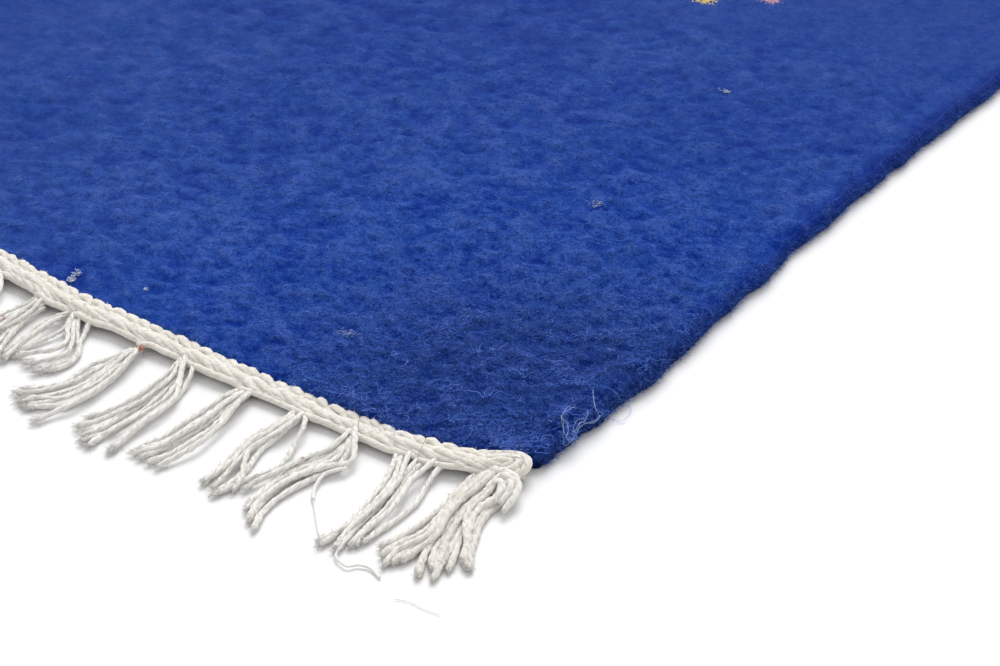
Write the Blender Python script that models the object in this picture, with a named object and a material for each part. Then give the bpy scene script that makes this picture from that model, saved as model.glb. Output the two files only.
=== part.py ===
"""A small kilim: a flat-woven woollen field, a plaited cotton web across each end, and a warp fringe
in tassels from each web. It lies flat. Metres, +Z up, +Y along the warp, underside on Z = 0.

Each end is worked out in its own frame, with X along the end and -Y outwards, and the far end is the
near end's frame turned half round about Z.
"""

import math
import random
from collections import namedtuple

import bpy

# The field, in metres
FIELD_WIDTH = 0.600
FIELD_LENGTH = 0.900
FIELD_THICK = 0.0045
FIELD_RIM = 0.0019
FIELD_CORNER = 0.0030

# The end webs and the fringe
GAP = 0.0003
WEB_WIDTH = 0.0056
WEB_THICK = 0.0036
WEB_RIM = 0.0012
WEB_SHORT_OF_SIDE = 0.0015
CORD_WIDTH = 0.0014
CORD_SHORT_OF_SIDE = 0.0050
FRINGE_THICK = 0.0032
FRINGE_RIM = 0.0

# A tassel spreads from its root, where the warp ends are bunched, to its tips
ROOT_WIDTH = 0.0046
TASSEL_STEPS = 4
TIP_ROUNDING = 0.0016
TASSEL_PITCH = 0.0163
TASSEL_JITTER = 0.0020
LEAN_RANGE = (-0.0030, 0.0060)
REACH_RANGE = (0.0315, 0.0360)
SPREAD_RANGE = (0.0080, 0.0112)
TIP_GAP = 0.0008
SEEDS = {"near": 11, "far": 29}

# How finely the outlines are drawn
SIDE_STEP = 0.0150
END_STEP = 0.0160
CORNER_ZONE = 0.0450
CORNER_STEP = 0.0040
ARC_STEPS = 4
RIM_STEPS = 1

# The selvedges wander: waves along a side edge, from its corner
Wave = namedtuple("Wave", "length height start")
SIDE_WAVES = (
    Wave(0.230, 0.0013, -0.005),
    Wave(0.074, 0.0005, 0.016),
    Wave(0.410, 0.0008, 0.090),
)
END_WAVES = (
    Wave(0.350, 0.0009, 0.060),
    Wave(0.120, 0.0005, 0.020),
)

# At a corner the end is drawn back into the field, over a short reach from the side edge
Corner = namedtuple("Corner", "side sweep reach")
CORNERS = (
    Corner(1, 0.0135, 0.0200),
    Corner(-1, 0.0080, 0.0170),
)
SWEEP_POWER = 1.3

# The tassels nearest the right-hand corner of an end, from the side edge inwards
Tassel = namedtuple("Tassel", "from_side lean reach spread")
CORNER_TASSELS = (
    Tassel(0.0075, 0.0060, 0.0400, 0.0150),
    Tassel(0.0250, 0.0045, 0.0365, 0.0125),
    Tassel(0.0433, 0.0020, 0.0360, 0.0095),
    Tassel(0.0573, 0.0050, 0.0330, 0.0100),
    Tassel(0.0761, 0.0025, 0.0350, 0.0095),
    Tassel(0.0956, 0.0070, 0.0355, 0.0120),
    Tassel(0.1087, -0.0030, 0.0330, 0.0085),
    Tassel(0.1296, 0.0015, 0.0330, 0.0105),
    Tassel(0.1437, -0.0020, 0.0320, 0.0090),
)

Finish = namedtuple("Finish", "name colour roughness")
BLUE_WOOL = Finish("royal_blue_wool", (0.030, 0.075, 0.330), 0.92)
CREAM_WEB = Finish("cream_cotton_web", (0.800, 0.765, 0.690), 0.88)
CREAM_WARP = Finish("cream_cotton_warp", (0.830, 0.800, 0.735), 0.86)


def clear_scene():
    for old in list(bpy.data.objects):
        bpy.data.objects.remove(old, do_unlink=True)


def material(finish):
    made = bpy.data.materials.new(finish.name)
    made.use_nodes = True
    shader = made.node_tree.nodes["Principled BSDF"]
    shader.inputs["Base Color"].default_value = (*finish.colour, 1)
    shader.inputs["Roughness"].default_value = finish.roughness
    shader.inputs["Metallic"].default_value = 0
    return made


def waves(table, along):
    """How far a wandering edge stands out at this distance along it."""
    return sum(w.height * math.sin(math.tau * (along - w.start) / w.length) for w in table)


def side_x(y):
    """Where the right-hand side edge stands at this Y."""
    return FIELD_WIDTH / 2 + waves(SIDE_WAVES, y + FIELD_LENGTH / 2)


def corner_sweep(x):
    """How far the end is drawn back at this X, as both of its corners work together."""
    swept = 0
    for corner in CORNERS:
        inwards = max(FIELD_WIDTH / 2 - corner.side * x, 0)
        swept += corner.sweep * math.exp(-((inwards / corner.reach) ** SWEEP_POWER))
    return swept


def end_y(x):
    """Where the field ends at this X, in the frame of one end."""
    return -FIELD_LENGTH / 2 + corner_sweep(x) + waves(END_WAVES, x + FIELD_WIDTH / 2)


def outwards(x, distance):
    """The point this far out from the field's end, square to it."""
    slope = (end_y(x + GAP) - end_y(x - GAP)) / (2 * GAP)
    length = math.hypot(1, slope)
    return (x + distance * slope / length, end_y(x) - distance / length)


def end_stations(left, right):
    """X stations along an end, closer together near the corners."""
    stations = []
    x = left
    while x < right:
        stations.append(x)
        near_side = FIELD_WIDTH / 2 - abs(x) < CORNER_ZONE
        x += CORNER_STEP if near_side else END_STEP
    if right - stations[-1] < CORNER_STEP / 2:
        stations.pop()
    return [*stations, right]


def arc(centre, radius, start, turn, steps):
    """Points on an arc from the angle start through turn, both ends included."""
    angles = [start + turn * n / steps for n in range(steps + 1)]
    return [(centre[0] + radius * math.cos(a), centre[1] + radius * math.sin(a)) for a in angles]


def turned(points):
    """The same points in the frame of the far end."""
    return [(-x, -y) for x, y in points]


def half_of_field():
    """The near end from left to right, its right-hand corner, and the right side edge."""
    inner = FIELD_WIDTH / 2 - FIELD_CORNER
    end = [outwards(x, 0) for x in end_stations(-inner, inner)]
    corner_y = end_y(inner) + FIELD_CORNER
    side_here = side_x(corner_y)
    corner = arc((side_here - FIELD_CORNER, corner_y), FIELD_CORNER, -math.pi / 2, math.pi / 2, ARC_STEPS)
    side_end = FIELD_LENGTH / 2 - corner_sweep(-inner) - FIELD_CORNER
    count = round((side_end - corner_y) / SIDE_STEP)
    side_ys = [corner_y + (side_end - corner_y) * n / count for n in range(1, count)]
    return end[:-1] + corner + [(side_x(y), y) for y in side_ys]


def strip_outline(inside, width, short_of_side):
    """A band along the end, this far out from the field, with half-round ends."""
    last = FIELD_WIDTH / 2 - short_of_side - width / 2
    stations = end_stations(-last, last)
    outer = [outwards(x, inside + width) for x in stations]
    inner = [outwards(x, inside) for x in reversed(stations)]
    right_end = rounded_end(outer[-1], inner[0], width)
    left_end = rounded_end(inner[-1], outer[0], width)
    return outer + right_end + inner + left_end


def rounded_end(start, finish, width):
    """The points between two corners of a band's end, on a half circle across it."""
    centre = ((start[0] + finish[0]) / 2, (start[1] + finish[1]) / 2)
    angle = math.atan2(start[1] - centre[1], start[0] - centre[0])
    return arc(centre, width / 2, angle, math.pi, 2 * ARC_STEPS)[1:-1]


def tassel_rows(end):
    """Every tassel of one end from left to right: the tabled ones by the right corner, then a seeded run."""
    chance = random.Random(SEEDS[end])
    rows = {FIELD_WIDTH / 2 - t.from_side: t for t in CORNER_TASSELS}
    first = min(rows)
    last = -FIELD_WIDTH / 2 + CORNER_TASSELS[0].from_side
    count = round((first - last) / TASSEL_PITCH)
    for n in range(1, count + 1):
        jitter = chance.uniform(-TASSEL_JITTER, TASSEL_JITTER) if n < count else 0
        x = first + (last - first) * n / count + jitter
        spread = chance.uniform(*SPREAD_RANGE)
        room = left_tip(*min(rows.items())) - TIP_GAP - spread / 2 - x
        lean = min(chance.uniform(*LEAN_RANGE), room)
        rows[x] = Tassel(FIELD_WIDTH / 2 - x, lean, chance.uniform(*REACH_RANGE), spread)
    return sorted(rows.items())


def left_tip(x, tassel):
    """The X of the left-hand edge of a tassel's tips."""
    return x + tassel.lean - tassel.spread / 2


def tassel_side(root, tassel, hand):
    """One edge of a tassel from its root to its tip: hand is -1 for the left edge and 1 for the right."""
    points = []
    for n in range(TASSEL_STEPS + 1):
        share = n / TASSEL_STEPS
        half = ROOT_WIDTH / 2 + (tassel.spread - ROOT_WIDTH) / 2 * share**1.2
        drop = min(tassel.reach * share, tassel.reach - TIP_ROUNDING)
        points.append((root[0] + tassel.lean * share**1.4 + hand * half, root[1] - drop))
    tip_x = points[-1][0] - hand * TIP_ROUNDING
    return [*points, (tip_x, root[1] - tassel.reach)]


def comb_outline(end):
    """The fringe of one end: the cord under the web's outer edge, and the tassels that leave it."""
    inside = GAP + WEB_WIDTH + GAP
    last = FIELD_WIDTH / 2 - CORD_SHORT_OF_SIDE
    inner = [outwards(x, inside) for x in reversed(end_stations(-last, last))]
    outer = [outwards(-last, inside + CORD_WIDTH)]
    outermost = last - (ROOT_WIDTH + CORD_WIDTH) / 2
    for x, tassel in tassel_rows(end):
        root = outwards(min(max(x, -outermost), outermost), inside + CORD_WIDTH)
        left = tassel_side(root, tassel, -1)
        right = tassel_side(root, tassel, 1)
        outer += left + right[::-1]
    outer.append(outwards(last, inside + CORD_WIDTH))
    return outer + inner


def flat_piece(name, outline, thickness, rim, finish, home):
    """A flat solid of this outline, its rim rounded and its underside on Z = 0."""
    curve = bpy.data.curves.new(name, "CURVE")
    curve.dimensions = "2D"
    curve.fill_mode = "BOTH"
    curve.extrude = thickness / 2 - rim
    curve.bevel_depth = rim
    curve.bevel_resolution = RIM_STEPS
    curve.offset = -rim
    spline = curve.splines.new("POLY")
    spline.points.add(len(outline) - 1)
    for point, (x, y) in zip(spline.points, outline):
        point.co = (x, y, 0, 1)
    spline.use_cyclic_u = True
    curve.materials.append(finish)
    piece = bpy.data.objects.new(name, curve)
    piece.location.z = thickness / 2
    home.objects.link(piece)
    return piece


def build():
    clear_scene()
    home = bpy.data.collections.new("kilim_rug")
    bpy.context.scene.collection.children.link(home)

    near_half = half_of_field()
    outline = near_half + turned(near_half)
    flat_piece("field", outline, FIELD_THICK, FIELD_RIM, material(BLUE_WOOL), home)

    web_finish = material(CREAM_WEB)
    web = strip_outline(GAP, WEB_WIDTH, WEB_SHORT_OF_SIDE)
    flat_piece("end_web_near", web, WEB_THICK, WEB_RIM, web_finish, home)
    flat_piece("end_web_far", turned(web), WEB_THICK, WEB_RIM, web_finish, home)

    warp_finish = material(CREAM_WARP)
    near = comb_outline("near")
    far = comb_outline("far")
    flat_piece("fringe_near", near, FRINGE_THICK, FRINGE_RIM, warp_finish, home)
    flat_piece("fringe_far", turned(far), FRINGE_THICK, FRINGE_RIM, warp_finish, home)


build()
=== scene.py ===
"""The finish of a small kilim: matted blue wool with four stepped stars, a plaited cotton web across each
end, and tassels of twisted warp. Metres, +Z up, +Y along the warp, underside on Z = 0.

Each end is worked out in its own frame, with X along the end and -Y outwards, and the far end is the
near end's frame turned half round about Z. One corner, at +X and -Y, is made more finely than the rest.
"""

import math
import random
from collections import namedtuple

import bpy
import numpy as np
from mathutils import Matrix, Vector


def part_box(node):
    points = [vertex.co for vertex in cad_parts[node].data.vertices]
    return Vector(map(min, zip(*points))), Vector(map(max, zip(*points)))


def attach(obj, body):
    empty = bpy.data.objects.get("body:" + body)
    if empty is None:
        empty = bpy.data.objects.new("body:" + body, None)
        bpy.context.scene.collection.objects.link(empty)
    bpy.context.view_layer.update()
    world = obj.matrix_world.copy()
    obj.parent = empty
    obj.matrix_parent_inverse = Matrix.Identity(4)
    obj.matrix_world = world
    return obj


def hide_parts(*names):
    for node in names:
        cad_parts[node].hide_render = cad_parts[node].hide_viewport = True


bl_info = {
    "name": "Blue Kilim",
    "version": (1, 0, 0),
    "blender": (4, 5, 0),
    "location": "View3D > Sidebar > Kilim",
    "description": "A small flat-woven wool rug with plaited cotton webs and warp tassels",
    "category": "Add Mesh",
}

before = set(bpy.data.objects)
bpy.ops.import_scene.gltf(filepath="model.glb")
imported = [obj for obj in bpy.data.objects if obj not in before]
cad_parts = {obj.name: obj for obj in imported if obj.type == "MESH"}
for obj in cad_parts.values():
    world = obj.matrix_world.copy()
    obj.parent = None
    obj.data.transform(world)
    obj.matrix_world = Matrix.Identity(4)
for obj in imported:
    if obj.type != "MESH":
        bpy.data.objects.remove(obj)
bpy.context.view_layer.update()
BODY = "root"
MM = 0.001

# The rug, as its CAD solids have it
FIELD_WIDTH = 0.600
FIELD_LENGTH = 0.900
HALF_WIDTH = FIELD_WIDTH / 2
HALF_LENGTH = FIELD_LENGTH / 2
FIELD_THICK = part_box("field")[1][2]
GAP = 0.0003
WEB_SHORT_OF_SIDE = 0.0015
TASSEL_PITCH = 0.0163
TASSEL_JITTER = 0.0020
LEAN_RANGE = (-0.0030, 0.0060)
REACH_RANGE = (0.0315, 0.0360)
SPREAD_RANGE = (0.0080, 0.0112)
TIP_GAP = 0.0008
SEEDS = {"near": 11, "far": 29}
# Each end, and whether it is turned half round. The far end is made less finely
ENDS = (("near", False), ("far", True))

# The selvedges wander: waves along a side edge, from its corner
Wave = namedtuple("Wave", "length height start")
SIDE_WAVES = (
    Wave(0.230, 0.0013, -0.005),
    Wave(0.074, 0.0005, 0.016),
    Wave(0.410, 0.0008, 0.090),
)
END_WAVES = (
    Wave(0.350, 0.0009, 0.060),
    Wave(0.120, 0.0005, 0.020),
)

# How far in from those waves a side edge lies, and how far out an end lies, at these distances from the
# corner that the two share, in millimetres
SIDE_DRAWN_IN = (
    (0, 0.8), (25, 0.9), (38, 1.6), (47, 1.2), (55, -0.3), (62, -0.3), (70, 0.5), (80, 1.1), (94, 1.5),
    (103, 2.2), (112, 1.5), (126, 2.4), (138, 1.4), (147, 0.6), (157, 1.9), (166, 2.5), (190, 2.2),
    (200, 1.6), (900, 1.9),
)
END_LET_OUT = (
    (0, 0.9), (12, 1.5), (28, 1.3), (44, 0.5), (58, 1.2), (80, 2.0), (100, 1.3), (118, 1.6), (132, 2.2),
    (148, 0.9), (160, -0.2), (180, 0.0),
)

# At a corner the end is drawn back into the field, over a short reach from the side edge
Corner = namedtuple("Corner", "side sweep reach")
CORNERS = (
    Corner(1, 0.0135, 0.0200),
    Corner(-1, 0.0080, 0.0170),
)
SWEEP_POWER = 1.3

# The tassels nearest the right-hand corner of an end, from the side edge inwards
Tassel = namedtuple("Tassel", "from_side lean reach spread")
CORNER_TASSELS = (
    Tassel(0.0075, 0.0060, 0.0400, 0.0150),
    Tassel(0.0250, 0.0045, 0.0365, 0.0125),
    Tassel(0.0433, 0.0020, 0.0360, 0.0095),
    Tassel(0.0573, 0.0050, 0.0330, 0.0100),
    Tassel(0.0761, 0.0025, 0.0350, 0.0095),
    Tassel(0.0956, 0.0070, 0.0355, 0.0120),
    Tassel(0.1087, -0.0030, 0.0330, 0.0085),
    Tassel(0.1296, 0.0015, 0.0330, 0.0105),
    Tassel(0.1437, -0.0020, 0.0320, 0.0090),
)

# How the sheet of wool is drawn: lines close together at the fine corner and along every edge
EDGE_LINES = tuple(n * MM for n in (0, 0.18, 0.5, 1.0, 1.6, 2.3, 3.1, 4.1, 5.3, 6.7, 8.3))
FINE_STEP = 0.00068
STEP_GROWTH = 0.0062
FINE_REACH = (0.272, 0.250)
COARSE_STEP = 0.0065
EDGE_BLEND = 0.070
CORNER_ROUNDING = 0.0030
EDGE_HEIGHT = 0.22
SIDE_ROUNDING = 0.0021
END_ROUNDING = 0.0026
EDGE_FULLNESS = 2.5
NOISE_CELLS = 512

# Under the edge, as far in and as high as these
UNDER_RINGS = ((0.0002, 0.0006), (0.0008, 0.0001), (0.0022, 0.0))

# The wool's unevenness: how wide its lumps are along X, how long along Y, and their seed
Lumps = namedtuple("Lumps", "width length seed")
WANDER = Lumps(0.0053, 0.0047, 2)
CLUMPS = Lumps(0.0032, 0.0029, 3)
BROAD_CLUMPS = Lumps(0.0070, 0.0062, 4)
TUFTS = Lumps(0.0018, 0.0014, 5)
SWELL = Lumps(0.045, 0.038, 8)
WRAPPED = Lumps(0.080, 0.0088, 9)
FINE_WRAPPED = Lumps(0.080, 0.0031, 10)
WEFT_WANDER = Lumps(0.0070, 0.0090, 12)
WANDER_BY = 0.0012
BROAD_SHARE = 0.5
TUFT_SHARE = 0.85
SWELL_HEIGHT = 0.00025
RELIEF_FADE = 0.045

# The floats of the weave show a little through the clumps, in rows that are staggered by half a float
FLOAT_LENGTH = 0.0074
FLOAT_ROWS = 0.0040
FLOAT_SHARE = 0.25

# The wefts turn back along each side edge, wrapped by the last warps
WEFT_PITCH = 0.0025
WEFT_STANDS_OUT = 0.00040
WRAPPED_BY = (0.00060, 0.00040)
WRAPPED_REACH = 0.006

# A ridge along each side edge, and a groove inside it: how far in and how wide they are, how high or deep,
# and how much of that varies
Band = namedtuple("Band", "inwards width height varies lumps")
RIDGE = Band(0.0048, 0.0034, 0.00070, 0.00075, Lumps(0.020, 0.0088, 6))
GROOVE = Band(0.0112, 0.0019, 0.00035, 0.00040, Lumps(0.030, 0.013, 7))


# ---------------------------------------------------------------- the rug's outline and surface


def by_distance(table, distance):
    """The value at this distance in a table of stops, both in millimetres."""
    stops, values = np.array(table).T * MM
    return np.interp(distance, stops, values)


def waves(table, along):
    """How far a wandering edge stands out at this distance along it."""
    return sum(w.height * np.sin(math.tau * (along - w.start) / w.length) for w in table)


def side_x(y):
    """Where the right-hand side edge stands at this Y."""
    return HALF_WIDTH + waves(SIDE_WAVES, y + HALF_LENGTH)


def drawn_in(y):
    """How far in from its waves the right-hand side edge lies at this Y."""
    return by_distance(SIDE_DRAWN_IN, HALF_LENGTH + y)


def let_out(x):
    """How far out the wool and the web lie at this X, in the frame of one end."""
    return by_distance(END_LET_OUT, HALF_WIDTH - x)


def corner_sweep(x):
    """How far the end is drawn back at this X, as both of its corners work together."""
    swept = 0
    for corner in CORNERS:
        inwards = np.maximum(HALF_WIDTH - corner.side * x, 0)
        swept = swept + corner.sweep * np.exp(-((inwards / corner.reach) ** SWEEP_POWER))
    return swept


def end_y(x):
    """Where the field ends at this X, in the frame of one end."""
    return -HALF_LENGTH + corner_sweep(x) + waves(END_WAVES, x + HALF_WIDTH)


def outwards(x, distance):
    """The point this far out from the field's end, square to it."""
    slope = (end_y(x + GAP) - end_y(x - GAP)) / (2 * GAP)
    length = np.hypot(1, slope)
    return x + distance * slope / length, end_y(x) - distance / length


def end_point(x, distance, height):
    """Points of an end as rows of X, Y and Z."""
    px, py = outwards(x, distance)
    return np.stack(np.broadcast_arrays(px, py, height), axis=-1)


def turned(points):
    """The same points in the frame of the far end."""
    return points * np.array((-1, -1, 1))


def smooth(share):
    """0 to 1 with level ends."""
    share = np.clip(share, 0, 1)
    return share * share * (3 - 2 * share)


def lumps(x, y, width, length, seed):
    """Smooth noise from -1 to 1, in lumps this wide along X and this long along Y."""
    table = np.random.default_rng(seed).uniform(-1, 1, (NOISE_CELLS, NOISE_CELLS))
    across = x / width
    along = y / length
    i = np.floor(across).astype(int)
    j = np.floor(along).astype(int)
    s = smooth(across - i)
    t = smooth(along - j)

    def at(di, dj):
        return table[(i + di) % NOISE_CELLS, (j + dj) % NOISE_CELLS]

    low = at(0, 0) * (1 - s) + at(1, 0) * s
    high = at(0, 1) * (1 - s) + at(1, 1) * s
    return low * (1 - t) + high * t


def shown(step, widest, fade):
    """0 where the lines are too far apart to show a detail, up to 1 where they are closer by the fade."""
    return smooth((widest * MM - step) / (fade * MM))


def turns(y):
    """How far the turns of the weft stand out along the side edges, where the lines can show it."""
    height = WEFT_STANDS_OUT * shown(line_step(HALF_LENGTH + y, FINE_REACH[1]), 1.5, 0.6)
    return height * np.sin(math.tau * y / WEFT_PITCH + 1.6 * lumps(y, y, *WEFT_WANDER))


def laid(x, y):
    """Where a point of the straight-cut field lies, as its edges wander and its corners are rounded."""
    in_x = np.maximum(np.abs(x) - (HALF_WIDTH - CORNER_ROUNDING), 0) / CORNER_ROUNDING
    in_y = np.maximum(np.abs(y) - (HALF_LENGTH - CORNER_ROUNDING), 0) / CORNER_ROUNDING
    pull_x = CORNER_ROUNDING * in_x * (1 - np.sqrt(1 - np.minimum(in_y, 1) ** 2 / 2))
    pull_y = CORNER_ROUNDING * in_y * (1 - np.sqrt(1 - np.minimum(in_x, 1) ** 2 / 2))
    x = x - np.sign(x) * pull_x
    y = y - np.sign(y) * pull_y

    def nearness(to_edge):
        return smooth(1 - to_edge / EDGE_BLEND)

    right = (side_x(y) - HALF_WIDTH - drawn_in(y)) * nearness(HALF_WIDTH - x)
    left = (HALF_WIDTH - side_x(-y) + drawn_in(-y)) * nearness(HALF_WIDTH + x)
    wrapped = WRAPPED_BY[0] * lumps(x, y, *WRAPPED) + WRAPPED_BY[1] * lumps(x, y, *FINE_WRAPPED)
    right = right + (wrapped + turns(y)) * smooth(1 - (HALF_WIDTH - x) / WRAPPED_REACH)
    left = left + wrapped * smooth(1 - (HALF_WIDTH + x) / WRAPPED_REACH)
    near = (end_y(x) - let_out(x) + HALF_LENGTH) * nearness(HALF_LENGTH + y)
    far = -(end_y(-x) - let_out(-x) + HALF_LENGTH) * nearness(HALF_LENGTH - y)
    return x + right + left, y + near + far


def line_step(in_from_edge, reach):
    """How far apart the sheet's lines are at this distance from the fine corner's edge."""
    return np.where(in_from_edge < reach, FINE_STEP + STEP_GROWTH * in_from_edge, COARSE_STEP)


def grid_lines(size, reach):
    """The distances from the fine corner's edge at which the sheet has its lines."""
    lines = list(EDGE_LINES)
    while True:
        step = float(line_step(lines[-1], reach))
        if lines[-1] + 1.3 * step > size - EDGE_LINES[-1]:
            break
        lines.append(lines[-1] + step)
    return np.array(lines + [size - edge for edge in reversed(EDGE_LINES)])


def rise(to_edge, rounding):
    """From 0 on the edge to 1 where the rounding ends."""
    share = np.clip(to_edge / rounding, 0, 1)
    return (1 - (1 - share) ** EDGE_FULLNESS) ** (1 / EDGE_FULLNESS)


def relief(x, y):
    """How the matted wool stands above or below its mean level here, in parts of the clump height."""
    from_side = HALF_WIDTH - x
    from_end = HALF_LENGTH + y
    step = np.maximum(line_step(from_side, FINE_REACH[0]), line_step(from_end, FINE_REACH[1]))
    within = smooth((FINE_REACH[0] - from_side) / RELIEF_FADE)
    within = within * smooth((FINE_REACH[1] - from_end) / RELIEF_FADE)
    wander = WANDER_BY * lumps(x, y, *WANDER)
    clumps = lumps(x + wander, y, *CLUMPS) + BROAD_SHARE * lumps(x, y + wander, *BROAD_CLUMPS)
    tufts = lumps(x + wander, y - wander, *TUFTS)
    float_row = np.sin(math.tau * y / FLOAT_ROWS)
    floats = np.sin(math.tau * x / FLOAT_LENGTH + 0.5 * math.pi * np.sign(float_row)) * np.abs(float_row)
    coarse_part = (clumps + FLOAT_SHARE * floats) * shown(step, 3.2, 1.8)
    fine_part = TUFT_SHARE * tufts * shown(step, 1.7, 0.9)
    return within * (coarse_part + fine_part)


def band_height(band, to_side, x, y):
    """How high the ridge or how deep the groove beside the edge is here."""
    share = np.exp(-(((to_side - band.inwards) / band.width) ** 2))
    return share * (band.height + band.varies * lumps(x, y, *band.lumps))


def surface(x, y, height):
    """The height of the field's upper face over a point of the straight cut."""
    to_side = HALF_WIDTH - np.abs(x)
    to_end = HALF_LENGTH - np.abs(y)
    edge = FIELD_THICK * EDGE_HEIGHT
    lift = np.minimum(rise(to_side, SIDE_ROUNDING), rise(to_end, END_ROUNDING))
    ridge = band_height(RIDGE, to_side, x, y)
    groove = band_height(GROOVE, to_side, x, y)
    swell = SWELL_HEIGHT * lumps(x, y, *SWELL)
    return edge + (FIELD_THICK - edge) * lift + (height * relief(x, y) + ridge - groove + swell) * lift


# ---------------------------------------------------------------- meshes made from arrays


def mesh_of(name, points, faces, uvs=None, tones=None):
    """A smooth mesh with a tone at each point. Faces and UVs are lists of arrays, one to a size of face."""
    mesh = bpy.data.meshes.new(name)
    mesh.vertices.add(len(points))
    mesh.vertices.foreach_set("co", np.asarray(points, np.float32).ravel())
    corners = np.concatenate([f.ravel() for f in faces]).astype(np.int32)
    totals = np.concatenate([np.full(len(f), f.shape[1]) for f in faces])
    starts = np.cumsum(totals) - totals
    mesh.loops.add(len(corners))
    mesh.loops.foreach_set("vertex_index", corners)
    mesh.polygons.add(len(totals))
    mesh.polygons.foreach_set("loop_start", starts.astype(np.int32))
    if uvs is not None:
        layer = mesh.uv_layers.new(name="UVMap")
        flat = np.concatenate([uv.reshape(-1, 2) for uv in uvs]).astype(np.float32)
        layer.data.foreach_set("uv", flat.ravel())
    if tones is not None:
        tone = mesh.attributes.new("tone", "FLOAT", "POINT")
        tone.data.foreach_set("value", np.asarray(tones, np.float32))
    mesh.update(calc_edges=True)
    mesh.shade_smooth()
    return mesh


def unit(vectors):
    """The same directions with length 1."""
    return vectors / np.maximum(np.linalg.norm(vectors, axis=-1, keepdims=True), 1e-12)


# Nothing lies lower than this, and a hair stays a little higher
LEAST_HEIGHT = 0.00005
LEAST_HAIR_HEIGHT = 0.0002
# Each hair takes its shade from one place within this much of a strand's run
HAIR_RUN = 0.0064
# A strand of cotton is twisted from this many plies
PLIES = 2


def lifted(paths):
    """The same hairs, kept up off the floor."""
    paths[..., 2] = np.maximum(paths[..., 2], LEAST_HAIR_HEIGHT)
    return paths


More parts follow.
